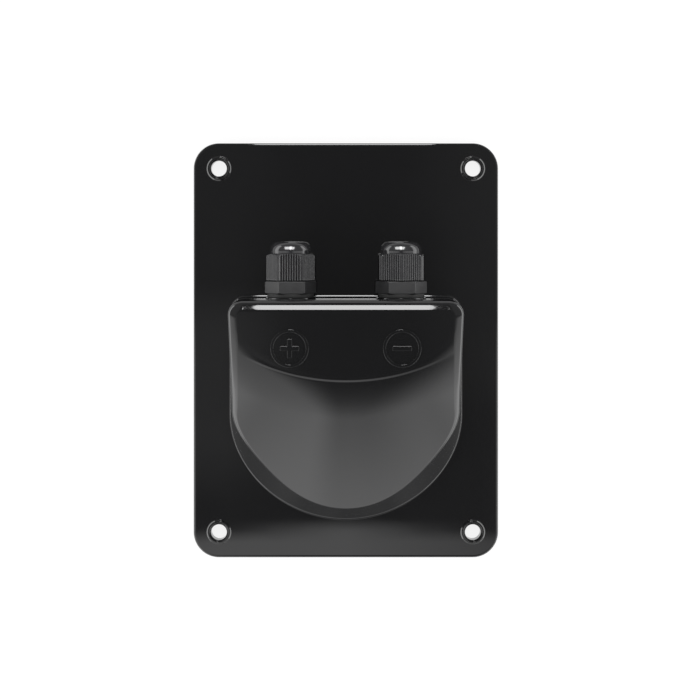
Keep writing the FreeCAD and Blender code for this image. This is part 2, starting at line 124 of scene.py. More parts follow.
def extrude_ring(bm: bmesh.types.BMesh, ring: Ring, places: Sequence[Place]) -> Ring:
    """Extrude a ring's edges and put the new ring where it belongs.

    Args:
        bm: Mesh that holds the ring.
        ring: Vertices to extrude from.
        places: Where each new vertex goes.

    Returns:
        The new ring's vertices.
    """
    made = bmesh.ops.extrude_edge_only(bm, edges=ring_edges(bm, ring))["geom"]
    fresh = {item for item in made if isinstance(item, bmesh.types.BMVert)}
    following = []
    for vert, place in zip(ring, places):
        ahead = next(edge.other_vert(vert) for edge in vert.link_edges if edge.other_vert(vert) in fresh)
        ahead.co = place
        following.append(ahead)
    return following


def extrude_chain(bm: bmesh.types.BMesh, ring: Ring, rows: Sequence[Sequence[Place]]) -> list[Ring]:
    """Extrude a ring through several rows.

    Args:
        bm: Mesh that holds the ring.
        ring: Vertices to start from.
        rows: Places of each further ring.

    Returns:
        All rings, the first one included.
    """
    rings = [ring]
    for places in rows:
        rings.append(extrude_ring(bm, rings[-1], places))
    return rings


def new_chain(bm: bmesh.types.BMesh, rows: Sequence[Sequence[Place]]) -> list[Ring]:
    """Start a ring at the first row and extrude it through the others."""
    return extrude_chain(bm, new_ring(bm, rows[0]), rows[1:])


def fill_flat(bm: bmesh.types.BMesh, rings: Sequence[Ring]) -> None:
    """Fill the flat area inside the first ring and around the others.

    Args:
        bm: Mesh that holds the rings.
        rings: Outer ring and the rings of its holes, all in one plane.
    """
    edges = [edge for ring in rings for edge in ring_edges(bm, ring)]
    bmesh.ops.triangle_fill(bm, use_beauty=True, use_dissolve=False, edges=edges)


def rounded_path(corners: Sequence[tuple[float, float, float]], steps: int, closed: bool) -> list[Point]:
    """Run of straight lines with its corners rounded.

    A point close to each rounding keeps the straight parts flat under smooth shading.

    Args:
        corners: Both coordinates of each corner and its radius.
        steps: Parts of each rounding.
        closed: Whether the last corner leads back to the first.

    Returns:
        Points along the path.
    """
    points: list[Point] = []
    count = len(corners)
    for i, (first, second, radius) in enumerate(corners):
        if radius == 0 or (not closed and i in (0, count - 1)):
            points.append((first, second))
            continue
        here = Vector((first, second))
        back = (Vector(corners[i - 1][:2]) - here).normalized()
        ahead = (Vector(corners[(i + 1) % count][:2]) - here).normalized()
        half = back.angle(ahead) / 2
        centre = here + (back + ahead).normalized() * radius / math.sin(half)
        arm = here + back * radius / math.tan(half) - centre
        start = math.atan2(arm.y, arm.x)
        sweep = math.copysign(math.pi - 2 * half, ahead.x * back.y - ahead.y * back.x)
        reach = radius / math.tan(half) + 0.2 * radius
        points.append(tuple(here + back * reach))
        for j in range(steps + 1):
            angle = start + sweep * j / steps
            points.append((centre.x + radius * math.cos(angle), centre.y + radius * math.sin(angle)))
        points.append(tuple(here + ahead * reach))
    return points


def circle(radius: float, count: int) -> list[Point]:
    """Evenly spaced points on a circle.

    Args:
        radius: Radius in millimetres.
        count: Number of points.

    Returns:
        Points anticlockwise.
    """
    angles = [math.tau * i / count for i in range(count)]
    return [(radius * math.cos(angle), radius * math.sin(angle)) for angle in angles]


def smooth_step(share: float) -> float:
    """Share from 0 to 1 eased at both ends."""
    share = min(1.0, max(0.0, share))
    return share * share * (3 - 2 * share)


def eased(value: float, stretch: Point) -> float:
    """Eased share of a value along a stretch, given as its start and its length."""
    return smooth_step((value - stretch[0]) / stretch[1])


def finished_piece(
    bm: bmesh.types.BMesh, name: str, node: str, finish: "Finish", sharp: float = 35.0
) -> bpy.types.Object:
    """Turn a mesh into the scene's piece for one CAD node.

    Args:
        bm: Closed mesh in millimetres, freed here.
        name: Name of the new object.
        node: CAD node that it replaces.
        finish: Finish that dresses it.
        sharp: Angle in degrees from which an edge stays crisp.

    Returns:
        The object, riding on the node's body.
    """
    bmesh.ops.remove_doubles(bm, verts=bm.verts, dist=1e-4)
    bmesh.ops.scale(bm, vec=(METRES, METRES, METRES), verts=bm.verts)
    bmesh.ops.recalc_face_normals(bm, faces=bm.faces)
    mesh = bpy.data.meshes.new(name)
    bm.to_mesh(mesh)
    bm.free()
    mesh.shade_smooth()
    mesh.set_sharp_from_angle(angle=math.radians(sharp))
    piece = bpy.data.objects.new(name, mesh)
    bpy.context.scene.collection.objects.link(piece)
    mesh.materials.append(finish.material())
    bodies = frame["record"]["behaviour"]["bodies"]
    body = next(each for each, nodes in bodies.items() if node in nodes)
    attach(piece, body)
    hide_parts(node)
    log.info("%s: %d faces for %s", name, len(mesh.polygons), node)
    return piece


# Finishes


def linear(colour: str) -> tuple[float, float, float, float]:
    """Linear colour of an sRGB hex value.

    Args:
        colour: Six hex digits after a hash.

    Returns:
        Linear red, green, blue and an alpha of one.
    """
    parts = []
    for i in (1, 3, 5):
        value = int(colour[i : i + 2], 16) / 255
        parts.append(value / 12.92 if value <= 0.04045 else ((value + 0.055) / 1.055) ** 2.4)
    return parts[0], parts[1], parts[2], 1.0


def add_node(
    tree: bpy.types.NodeTree,
    kind: str,
    settings: dict[str | int, object],
    links: dict[str | int, bpy.types.NodeSocket],
) -> bpy.types.Node:
    """Add a node with its settings and links.

    Args:
        tree: Node tree to add to.
        kind: Blender's name of the node type.
        settings: Values of sockets or of the node itself, by name, or by number for a socket.
        links: Output sockets to join, by the input's name or number.

    Returns:
        The new node.
    """
    node = tree.nodes.new(kind)
    for name, value in settings.items():
        if isinstance(name, int) or name in node.inputs:
            node.inputs[name].default_value = value
        else:
            setattr(node, name, value)
    for name, source in links.items():
        tree.links.new(source, node.inputs[name])
    return node


def per_metre(size: float) -> float:
    """Texture scale at which one pattern cell is this many millimetres wide."""
    return 1 / (size * METRES)


def blank_material(name: str) -> bpy.types.Material:
    """New material with an empty node tree.

    Args:
        name: Name of the material.

    Returns:
        The material.
    """
    material = bpy.data.materials.new(name)
    material.use_nodes = True
    material.node_tree.nodes.clear()
    return material


@dataclass(frozen=True)
class Texture:
    """Unevenness of a moulded skin, with its width and depth in millimetres."""

    width: float
    depth: float
    detail: float
    strength: float = 1.0


@dataclass(frozen=True)
class Finish:
    """What every moulded finish has: record slot, clouded colour and gloss, and the skin's textures."""

    name: str
    slot: str
    dark: str
    light: str
    ior: float
    cloud_width: float
    cloud_detail: float
    roughness: tuple[float, float]
    textures: tuple[Texture, ...]
    cloud_span: tuple[float, float] = (0.3, 0.7)

    def material(self) -> bpy.types.Material:
        """The finish as a Blender material, made once.

        Returns:
            The material.
        """
        ready = bpy.data.materials.get(self.name)
        if ready:
            return ready
        material = blank_material(self.name)
        tree = material.node_tree
        coordinates = add_node(tree, "ShaderNodeTexCoord", {}, {})
        shader = add_node(tree, "ShaderNodeBsdfPrincipled", {"IOR": self.ior}, {})
        self.dress(tree, coordinates.outputs["Object"], shader)
        add_node(tree, "ShaderNodeOutputMaterial", {}, {"Surface": shader.outputs["BSDF"]})
        return material

    def dress(
        self, tree: bpy.types.NodeTree, place: bpy.types.NodeSocket, shader: bpy.types.Node
    ) -> None:
        """Cloud the colour and the gloss, and lay the skin's textures over each other.

        Args:
            tree: Material's node tree.
            place: Object coordinates.
            shader: Principled shader to feed.
        """
        cloud = add_node(
            tree,
            "ShaderNodeTexNoise",
            {"Scale": per_metre(self.cloud_width), "Detail": self.cloud_detail},
            {"Vector": place},
        )
        ramp = add_node(tree, "ShaderNodeValToRGB", {}, {"Fac": cloud.outputs["Fac"]})
        ramp.color_ramp.elements[0].color = linear(self.dark)
        ramp.color_ramp.elements[1].color = linear(self.light)
        tree.links.new(ramp.outputs["Color"], shader.inputs["Base Color"])
        (thin, thick), (low, high) = self.cloud_span, self.roughness
        gloss = add_node(
            tree,
            "ShaderNodeMapRange",
            {"From Min": thin, "From Max": thick, "To Min": low, "To Max": high},
            {"Value": cloud.outputs["Fac"]},
        )
        tree.links.new(gloss.outputs["Result"], shader.inputs["Roughness"])
        under: dict[str | int, bpy.types.NodeSocket] = {}
        for texture in self.textures:
            noise = add_node(
                tree,
                "ShaderNodeTexNoise",
                {"Scale": per_metre(texture.width), "Detail": texture.detail},
                {"Vector": place},
            )
            bump = add_node(
                tree,
                "ShaderNodeBump",
                {"Strength": texture.strength, "Distance": texture.depth * METRES},
                {"Height": noise.outputs["Fac"], **under},
            )
            under = {"Normal": bump.outputs["Normal"]}
        tree.links.new(under["Normal"], shader.inputs["Normal"])


@dataclass(frozen=True)
class MouldedABS(Finish):
    """Black ABS from a polished mould: deep gloss, clouded softly by the melt's flow.

    Cooling leaves long waves that bend reflections a little, and the polish a peel too faint to see except
    in a highlight.
    """

    name: str = "polished_moulded_abs"
    slot: str = "abs_housing"
    dark: str = "#0a0a0b"
    light: str = "#0e0e0f"
    ior: float = 1.53
    cloud_width: float = 22.0
    cloud_detail: float = 2.0
    roughness: tuple[float, float] = (0.02, 0.035)
    textures: tuple[Texture, ...] = (Texture(15.0, 0.004, 1.0), Texture(0.5, 0.0001, 2.0))


@dataclass(frozen=True)
class MouldedNylon(Finish):
    """Black nylon from an eroded mould: satin, with a fine grain that softens its highlights.

    Beyond polished_from, in millimetres along Y, the mould is smoother and highlights stay crisp. Where a
    mesh tells its relief, from -1 in a valley to 1 on a crest, rib_painted_shade is the specular level from
    one
    to the other: painted shade in the valleys, where the grooves would lie in shade, and painted sheen on
    the crests.
    """

    name: str = "satin_moulded_nylon"
    slot: str = "nylon_gland"
    dark: str = "#1c1c1d"
    light: str = "#262627"
    ior: float = 1.53
    cloud_width: float = 4.0
    cloud_detail: float = 3.0
    roughness: tuple[float, float] = (0.34, 0.46)
    textures: tuple[Texture, ...] = (Texture(0.28, 0.006, 2.0, 0.5),)
    polished_from: float = 100.0
    polished_over: float = 1.0
    polished_roughness: float = 0.4
    # Specular level from valley to crest: painted shade in the ribs' valleys, painted sheen on their crests
    rib_painted_shade: tuple[float, float] = (0.05, 0.8)

    def dress(
        self, tree: bpy.types.NodeTree, place: bpy.types.NodeSocket, shader: bpy.types.Node
    ) -> None:
        """Add the polish of a nut's domed end, and the painted shade and sheen of its ribs, to what every
        finish has.

        Args:
            tree: Material's node tree.
            place: Object coordinates.
            shader: Principled shader to feed.
        """
        super().dress(tree, place, shader)
        satin = shader.inputs["Roughness"].links[0].from_socket
        along = add_node(tree, "ShaderNodeSeparateXYZ", {}, {"Vector": place})
        polish = add_node(
            tree,
            "ShaderNodeMapRange",
            {
                "From Min": self.polished_from * METRES,
                "From Max": (self.polished_from + self.polished_over) * METRES,
                "To Max": self.polished_roughness,
            },
            {"Value": along.outputs["Y"], "To Min": satin},
        )
        tree.links.new(polish.outputs["Result"], shader.inputs["Roughness"])
        # Painted sheen on the ribs' crests and painted shade in their valleys: the specular level follows
        # the relief
        relief = add_node(tree, "ShaderNodeAttribute", {"attribute_name": RELIEF}, {})
        low, high = self.rib_painted_shade
        painted_rib_shade = add_node(
            tree,
            "ShaderNodeMapRange",
            {"From Min": -1.0, "From Max": 1.0, "To Min": low, "To Max": high},
            {"Value": relief.outputs["Fac"]},
        )
        tree.links.new(painted_rib_shade.outputs["Result"], shader.inputs["Specular IOR Level"])


@dataclass(frozen=True)
class MouldedRubber(Finish):
    """Black chloroprene rubber: almost matt and soft, lighter and duller where bloom has come out."""

    name: str = "moulded_rubber"
    slot: str = "rubber_seal"
    dark: str = "#0c0c0c"
    light: str = "#151514"
    ior: float = 1.52
    cloud_width: float = 2.5
    cloud_detail: float = 4.0
    roughness: tuple[float, float] = (0.58, 0.74)
    textures: tuple[Texture, ...] = (Texture(0.35, 0.012, 3.0, 0.6),)


# The housing


@dataclass
class DomeSkin:
    """One skin of the D-shaped dome, its sizes in millimetres and its heights above the plate."""

    inset: float = 0.0
    edge_front: float = 5.0
    edge_side: float = 4.0
    edge_squash: float = 0.55
    edge_tail: float = 0.8
    edge_steps: int = 16
    crown_rows: int = 28
    half_width: float = 50.2017
    front: float = DOME_FRONT
    side_length: float = 50.6
    tail_length: float = 45.5
    corner: float = 6.5
    rise: float = 32.5017
    side_lean: float = 0.7
    side_taper: float = 1.9
    tail_lean: float = 21.0
    shoulder_shift: float = 5.6
    foot_flatness: float = 0.01
    head_flatness: float = 0.12
    tail_edge_height: float = 8.5
    level_half_width: float = 50.5017
    level_length: float = 32.0
    crown_blend: float = 0.5
    support: float = 0.35
    counts: tuple[int, int, int, int] = (24, 18, 24, 72)
    loop_front: float = 16.5
    loop_side: float = 42.7
    loop_corner: float = 1.5
    loop_share: float = 0.97
    loop_middle: float = 4.0
    loop_inner: float = 0.985

    def __post_init__(self) -> None:
        """Work out the two outlines that the wall is ruled between."""
        tail_edge_y = (
            self.front
            - self.side_length
            - self.tail_length
            + self.tail_lean * self.tail_edge_height / self.rise
        )
        tail_reach = (self.front - tail_edge_y) / self.level_length - 1
        self.crown_fall = (self.rise - self.tail_edge_height) / (tail_reach - self.crown_blend / 2)
        self.foot = self.half_outline(0.0)
        self.head = self.half_outline(1.0)
        self.last = len(self.foot) - 1
        self.tail_height = self.edge_height(self.last)
        self.loop = self.crown_loop()

    def half_outline(self, share: float) -> list[Point]:
        """Right half of the wall's outline at a share of the rise, from front middle to tail tip.

        Args:
            share: 0 at the plate, 1 at the dome's full rise.

        Returns:
            Points in plan.
        """
        half_width = self.half_width - self.inset - self.side_lean * share
        taper = self.side_taper * share
        front = self.front - self.inset
        corner = self.corner - self.inset
        straight = half_width - corner
        shoulder = self.front - self.side_length + self.shoulder_shift * share
        tail = self.tail_length - self.inset + (self.shoulder_shift - self.tail_lean) * share
        flatness = self.foot_flatness + (self.head_flatness - self.foot_flatness) * share
        front_count, corner_count, side_count, tail_count = self.counts
        points = [(straight * i / front_count, front) for i in range(front_count)]
        for i in range(corner_count):
            angle = math.pi / 2 * (1 - i / corner_count)
            points.append((straight + corner * math.cos(angle), front - corner + corner * math.sin(angle)))
        for i in range(side_count):
            along = i / side_count
            points.append((half_width - taper * along, front - corner + (shoulder - front + corner) * along))
        for i in range(tail_count + 1):
            angle = math.pi / 2 * i / tail_count
            reach = 1 - flatness * math.sin(2 * angle) ** 2
            x = (half_width - taper) * reach * math.cos(angle)
            points.append((x, shoulder - tail * reach * math.sin(angle)))
        return points

    def crown_height(self, x: float, y: float) -> float:
        """Height of the crown over a place in plan: level in front, falling towards the tail."""
        top = self.rise - self.inset
        reach = math.hypot(x / self.level_half_width, (self.front - y) / self.level_length) - 1
        if reach <= 0:
            return top
        if reach < self.crown_blend:
            return top - self.crown_fall * reach**2 / (2 * self.crown_blend)
        return top - self.crown_fall * (reach - self.crown_blend / 2)

    def wall_point(self, i: int, height: float) -> Point:
        """Plan position of outline point i at a height on the wall."""
        share = max(0.0, height) / self.rise
        foot_x, foot_y = self.foot[i]
        head_x, head_y = self.head[i]
        return foot_x + (head_x - foot_x) * share, foot_y + (head_y - foot_y) * share

    def outward(self, i: int, height: float) -> Point:
        """Unit plan direction straight out of the wall at outline point i."""
        if i == 0:
            return 0.0, 1.0
        if i == self.last:
            return 0.0, -1.0
        ahead_x, ahead_y = self.wall_point(i + 1, height)
        behind_x, behind_y = self.wall_point(i - 1, height)
        length = math.hypot(ahead_x - behind_x, ahead_y - behind_y)
        return (behind_y - ahead_y) / length, (ahead_x - behind_x) / length

    def edge_height(self, i: int) -> float:
        """Height where the wall meets the crown at outline point i, found by halving."""
        low, high = 0.0, self.rise
        for _ in range(HALVINGS):
            middle = (low + high) / 2
            if middle < self.crown_height(*self.wall_point(i, middle)):
                low = middle
            else:
                high = middle
        return low

    def edge_arc(self, i: int) -> list[Place]:
        """Rounded edge at outline point i, as a ball rolling along wall and crown leaves it.

        Behind the front the rounding is squashed, so it is tighter at the wall than at the crown.

        Args:
            i: Number of the outline point.

        Returns:
            Points from the wall to the crown, with their height above the plate.
        """
        edge = self.edge_height(i)
        share = (edge - self.tail_height) / (self.rise - self.inset - self.tail_height)
        front_count, corner_count, _, _ = self.counts
        turned = smooth_step((i - front_count) / corner_count)
        full = self.edge_front + (self.edge_side - self.edge_front) * turned
        radius = self.edge_tail + (full - self.edge_tail) * smooth_step(share)
        squash = 1 - (1 - self.edge_squash) * turned * smooth_step(share)
        out_x, out_y = self.outward(i, edge)
        foot_x, foot_y = self.wall_point(i, 0.0)
        high_x, high_y = self.wall_point(i, self.rise)
        lean = -((high_x - foot_x) * out_x + (high_y - foot_y) * out_y) / self.rise
        size = math.hypot(1.0, lean)
        base_x, base_y = self.wall_point(i, edge)

        def crown_at(depth: float) -> float:
            """Crown height at a depth behind the wall."""
            return self.crown_height(base_x - out_x * depth, base_y - out_y * depth)

        def nearest(depth: float, height: float) -> float:
            """Depth of the crown's point nearest to the ball's centre."""
            near = depth
            for _ in range(20):
                slope = (crown_at(near + 0.01) - crown_at(near - 0.01)) / 0.02
                near = depth - (crown_at(near) - height) * slope
            return near

        low, high = edge - 6 * radius, edge
        for _ in range(HALVINGS):
            middle = (low + high) / 2
            depth, height = (middle - edge) * lean + radius / size, middle - radius * lean / size
            near = nearest(depth, height)
            if math.hypot(near - depth, crown_at(near) - height) > radius:
                low = middle
            else:
                high = middle
        depth, height = (low - edge) * lean + radius / size, low - radius * lean / size
        near = nearest(depth, height)
        start = math.pi - math.atan(lean)
        stop = math.atan2(crown_at(near) - height, near - depth)
        points = []
        for j in range(self.edge_steps + 1):
            angle = start + (stop - start) * j / self.edge_steps
            along = depth + radius * math.cos(angle)
            top = crown_at(along)
            drop = top - height - radius * math.sin(angle)
            along += lean * (1 - squash) * drop
            points.append((base_x - out_x * along, base_y - out_y * along, top - squash * drop))
        return points

    def crown_loop(self) -> list[Point]:
        """Right half of the loop inside the crown's level part, one point for each outline point.

        Returns:
            Points in plan.
        """
        front_count, corner_count, side_count, tail_count = self.counts
        straight = self.loop_side - self.loop_corner
        points = [(straight * i / front_count, self.loop_front) for i in range(front_count)]
        for i in range(corner_count):
            angle = math.pi / 2 * (1 - i / corner_count)
            x = straight + self.loop_corner * math.cos(angle)
            points.append((x, self.loop_front + self.loop_corner * (math.sin(angle) - 1)))
        across, along = self.level_half_width * self.loop_share, self.level_length * self.loop_share
        first = math.acos(self.loop_side / across)
        track = [Vector((self.loop_side, self.loop_front - self.loop_corner))]
        for i in range(201):
            angle = first + (math.pi / 2 - first) * i / 200
            track.append(Vector((across * math.cos(angle), self.front - along * math.sin(angle))))
        lengths = [0.0]
        for behind, here in zip(track, track[1:]):
            lengths.append(lengths[-1] + (here - behind).length)
        outline = [0.0]
        start = front_count + corner_count
        for i in range(start, start + side_count + tail_count):
            outline.append(outline[-1] + math.dist(self.foot[i], self.foot[i + 1]))
        for run in outline:
            wanted = run / outline[-1] * lengths[-1]
            k = next(k for k, length in enumerate(lengths) if length >= wanted - 1e-9)
            if k == 0:
                points.append(tuple(track[0]))
                continue
            share = (wanted - lengths[k - 1]) / (lengths[k] - lengths[k - 1])
            points.append(tuple(track[k - 1].lerp(track[k], share)))
        return points

    def wall_and_crown(self, i: int, start: float) -> list[Place]:
        """Section from a height on the wall over the edge to the crown's loop.

        Args:
            i: Number of the outline point.
            start: Height where the section starts.

        Returns:
            Places with their height above the plate, without the starting one.
        """
        arc = self.edge_arc(i)
        stop = arc[0][2]
        gap = min(self.support, (stop - start) / 8)
        heights = [start + gap]
        heights += [start + gap + (stop - start - 2 * gap) * j / 5 for j in range(1, 6)]
        points = [(*self.wall_point(i, height), height) for height in heights] + arc
        end_x, end_y, _ = arc[-1]
        loop_x, loop_y = self.loop[i]
        run = math.hypot(end_x - loop_x, end_y - loop_y)
        first = min(0.5, 0.3 / run)
        for j in range(self.crown_rows + 1):
            share = first + (1 - first) * (j / self.crown_rows) ** 1.2
            x, y = end_x + (loop_x - end_x) * share, end_y + (loop_y - end_y) * share
            points.append((x, y, self.crown_height(x, y)))
        # One more ring inside the loop keeps the level part flat under smooth shading
        x, y = loop_x * self.loop_inner, self.loop_middle + (loop_y - self.loop_middle) * self.loop_inner
        points.append((x, y, self.crown_height(x, y)))
        return points

    def full_ring(self, half: Sequence[Place], plate_height: float) -> list[Place]:
        """Both halves of one row, with heights measured from the base plane."""
        right = [(x, y, z + plate_height) for x, y, z in half]
        return right + [(-x, y, z) for x, y, z in right[-2:0:-1]]


@dataclass
class Housing:
    """The ABS moulding: flange plate, dome, gland seats, screw holes, marks and underside."""

    finish: MouldedABS
    width: float = 132.3034
    length: float = 180.0
    height: float = 6.0
    corner_radius: float = 11.0
    edge_radius: float = 0.7
    skin: float = 2.8
    wall: float = 2.8
    lip_width: float = 2.6
    lip_bevel: float = 0.3
    front_foot_radius: float = 1.0
    foot_radius: float = 0.25
    foot_steps: int = 6
    foot_support: float = 0.4
    rib_width: float = 1.8
    rib_gap: float = 31.0
    rib_drop: float = 0.8
    rib_bevel: float = 0.25
    rib_sink: float = 0.3
    rib_step: float = 0.03
    hole_inset: float = 11.0
    hole_radius: float = 3.4
    sink_radius: float = 4.3
    sink_foot: float = 4.1
    sink_depth: float = 0.25
    rim_radius: float = 4.85
    rim_foot: float = 5.35
    rim_height: float = 0.45
    boss_radius: float = 6.0
    mark_x: float = GLAND_X
    mark_y: float = 2.5
    mark_radius: float = 8.0
    mark_width: float = 1.2
    mark_height: float = 0.5
    mark_root: float = 0.3
    mark_edge: float = 0.12
    bar_length: float = 8.0
    bar_width: float = 2.0
    gland_hole: float = 7.75
    seat_radius: float = 10.7
    inner_seat_radius: float = 12.75
    seat_height: float = 0.25
    patch_columns: tuple[int, int] = (5, 21)
    hole_columns: int = 64
    ring_columns: int = 96
    corner_steps: int = 20

    def build(self) -> bpy.types.Object:
        """Build the moulding as one closed mesh.

        Returns:
            The finished housing.
        """
        bm = bmesh.new()
        outer = DomeSkin()
        inner = DomeSkin(
            inset=self.wall, edge_front=2.2, edge_side=2.2, edge_tail=0.4, edge_steps=8, crown_rows=12
        )
        outside = self.outer_dome(bm, outer)
        inside, rim = self.opening_and_cavity(bm, outer, inner)
        plate_top, ceiling = self.plate_edge(bm)
        tops, bosses = self.screw_holes(bm)
        fill_flat(bm, [plate_top, outside[0], *tops])
        fill_flat(bm, [ceiling, rim, *bosses])
        self.crown_marks(bm, outside[-1], outer.rise + self.height)
        fill_flat(bm, [inside[-1]])
        wall_rows = self.foot_steps + 2
        for side in Side:
            start = self.wall_patch(bm, outside, side, wall_rows, wall_rows + 5)
            stop = self.wall_patch(bm, inside, side, 2, 7)
            self.gland_hole_between(bm, start, stop, side)
        self.ribs(bm, outer)
        return finished_piece(bm, "housing_moulding", "housing_shell", self.finish)

    def foot_fillet(self, skin: DomeSkin, i: int) -> float:
        """Radius of the foot's fillet: wider along the front wall, easing off round its corners."""
        front_count, corner_count, _, _ = skin.counts
        share = smooth_step((i - front_count) / corner_count)
        return self.front_foot_radius + (self.foot_radius - self.front_foot_radius) * share

    def outer_dome(self, bm: bmesh.types.BMesh, skin: DomeSkin) -> list[Ring]:
        """Outside of the dome, from the plate over the edge to the crown's level loop.

        Args:
            bm: Mesh to add to.
            skin: Shape of the outside.

        Returns:
            Rings from foot to crown.
        """
        columns = []
        for i in range(skin.last + 1):
            x, y = skin.wall_point(i, 0.0)
            out_x, out_y = skin.outward(i, 0.0)
            radius = self.foot_fillet(skin, i)
            out = radius + self.foot_support
            column = [(x + out_x * out, y + out_y * out, 0.0)]
            for j in range(self.foot_steps + 1):
                angle = math.pi / 2 * j / self.foot_steps
                height = radius * (1 - math.cos(angle))
                out = radius * (1 - math.sin(angle))
                x, y = skin.wall_point(i, height)
                column.append((x + out_x * out, y + out_y * out, height))
            columns.append(column + skin.wall_and_crown(i, radius))
        rows = [skin.full_ring(row, self.height) for row in zip(*columns)]
        return new_chain(bm, rows)

    def opening_and_cavity(
        self, bm: bmesh.types.BMesh, outer: DomeSkin, inner: DomeSkin
    ) -> tuple[list[Ring], Ring]:
        """Rim around the opening and the cavity's skin above it.

        Args:
            bm: Mesh to add to.
            outer: Shape of the outside.
            inner: Shape of the cavity.

        Returns:
            The cavity's rings from the base up, and the rim's ring in the pocket's ceiling.
        """
        edge = self.lip_bevel
        rim_columns, columns = [], []
        for i in range(outer.last + 1):
            out_x, out_y = outer.outward(i, 0.0)
            x, y = outer.foot[i]
            in_x, in_y = inner.foot[i]
            rim_columns.append(
                [
                    (x, y, -self.skin),
                    (x, y, edge - self.height),
                    (x - out_x * edge, y - out_y * edge, -self.height),
                    (in_x + out_x * edge, in_y + out_y * edge, -self.height),
                ]
            )
            base = edge - self.height
            columns.append([(in_x, in_y, base)] + inner.wall_and_crown(i, base))
        rows = [outer.full_ring(row, self.height) for row in zip(*rim_columns)]
        rim = new_chain(bm, rows)
        rows = [inner.full_ring(row, self.height) for row in zip(*columns)]
        rings = extrude_chain(bm, rim[-1], rows)
        return rings[1:], rim[0]

    def plate_outline(self, inset: float, z: float) -> list[Place]:
        """Rounded rectangle inside the plate's outline.

        Args:
            inset: Distance inside the plate's side.
            z: Height from the base plane.

        Returns:
            Places around it.
        """
        x, y = self.width / 2 - inset, self.length / 2 - inset
        radius = self.corner_radius - inset
        corners = [(x, y, radius), (-x, y, radius), (-x, -y, radius), (x, -y, radius)]
        return [(a, b, z) for a, b in rounded_path(corners, self.corner_steps, True)]

    def plate_edge(self, bm: bmesh.types.BMesh) -> tuple[Ring, Ring]:
        """Rounded top edge, side, lip and pocket wall of the plate.

        Args:
            bm: Mesh to add to.

        Returns:
            The ring in the top face and the ring in the pocket's ceiling.
        """
        radius, bevel = self.edge_radius, self.lip_bevel
        section = [(radius + self.foot_support, self.height)]
        for j in range(9):
            angle = math.pi / 2 * j / 8
            section.append((radius * (1 - math.sin(angle)), self.height - radius * (1 - math.cos(angle))))
        section += [(0.0, self.height - radius - self.foot_support), (0.0, 2 * bevel), (0.0, bevel)]
        section += [(bevel, 0.0), (self.lip_width - bevel, 0.0), (self.lip_width, bevel)]
        section += [(self.lip_width, self.height - self.skin)]
        rows = [self.plate_outline(inset, z) for inset, z in section]
        rings = new_chain(bm, rows)
        return rings[0], rings[-1]

    def screw_holes(self, bm: bmesh.types.BMesh) -> tuple[list[Ring], list[Ring]]:
        """Rims, countersinks, holes and bosses at the plate's corners.

        Args:
            bm: Mesh to add to.

        Returns:
            The rings in the top face and the rings in the pocket's ceiling.
        """
        top = self.height + self.rim_height
        section = rounded_path(
            [
                (self.rim_foot + self.foot_support, self.height, 0.0),
                (self.rim_foot, self.height, 0.15),
                (self.rim_radius, top, 0.15),
                (self.sink_radius, top, 0.08),
                (self.sink_foot, top - self.sink_depth, 0.05),
                (self.hole_radius, top - self.sink_depth - 0.02, 0.15),
                (self.hole_radius, 0.0, 0.2),
                (self.boss_radius, 0.0, 0.3),
                (self.boss_radius, self.height - self.skin, 0.0),
            ],
            4,
            False,
        )
        tops, bosses = [], []
        x, y = self.width / 2 - self.hole_inset, self.length / 2 - self.hole_inset
        for centre_x, centre_y in ((x, y), (-x, y), (-x, -y), (x, -y)):
            rows = [
                [(centre_x + a, centre_y + b, z) for a, b in circle(radius, self.hole_columns)]
                for radius, z in section
            ]
            rings = new_chain(bm, rows)
            tops.append(rings[0])
            bosses.append(rings[-1])
        return tops, bosses

    def sign_outline(self, sign: Sign, inset: float) -> list[Point]:
        """Outline of a plus or minus.

        Args:
            sign: Which sign.
            inset: Distance inside its full outline.

        Returns:
            Points around it.
        """
        far, near = self.bar_length / 2 - inset, self.bar_width / 2 - inset
        if sign is Sign.MINUS:
            corners = [(far, near), (-far, near), (-far, -near), (far, -near)]
        else:
            quarter = [(far, near), (near, near), (near, far)]
            corners = []
            for i in range(4):
                c, s = round(math.cos(math.pi / 2 * i)), round(math.sin(math.pi / 2 * i))
                corners += [(a * c - b * s, a * s + b * c) for a, b in quarter]
        return rounded_path([(a, b, self.mark_edge) for a, b in corners], 3, True)

    def crown_marks(self, bm: bmesh.types.BMesh, crown: Ring, z: float) -> None:
        """Level part of the crown with its two raised rings and signs, rooted in it.

        Args:
            bm: Mesh to add to.
            crown: Ring around the level part.
            z: Height of the level part.
        """
        edge = self.mark_edge
        outer, inner = self.mark_radius, self.mark_radius - self.mark_width
        root, top = z - self.mark_root, z + self.mark_height
        band = rounded_path(
            [(outer, root, 0.0), (outer, top, edge), (inner, top, edge), (inner, root, 0.0)], 4, False
        )
        lift = rounded_path([(0.0, root, 0.0), (0.0, top, edge), (3 * edge, top, 0.0)], 4, False)
        fill_flat(bm, [crown])
        for x, sign in ((-self.mark_x, Sign.PLUS), (self.mark_x, Sign.MINUS)):
            rows = [
                [(x + a, self.mark_y + b, height) for a, b in circle(radius, self.ring_columns)]
                for radius, height in band + band[:1]
            ]
            new_chain(bm, rows)
            rows = [
                [(x + a, self.mark_y + b, height) for a, b in self.sign_outline(sign, inset)]
                for inset, height in lift[:-1]
            ]
            bars = new_chain(bm, rows)
            fill_flat(bm, [bars[0]])
            fill_flat(bm, [bars[-1]])

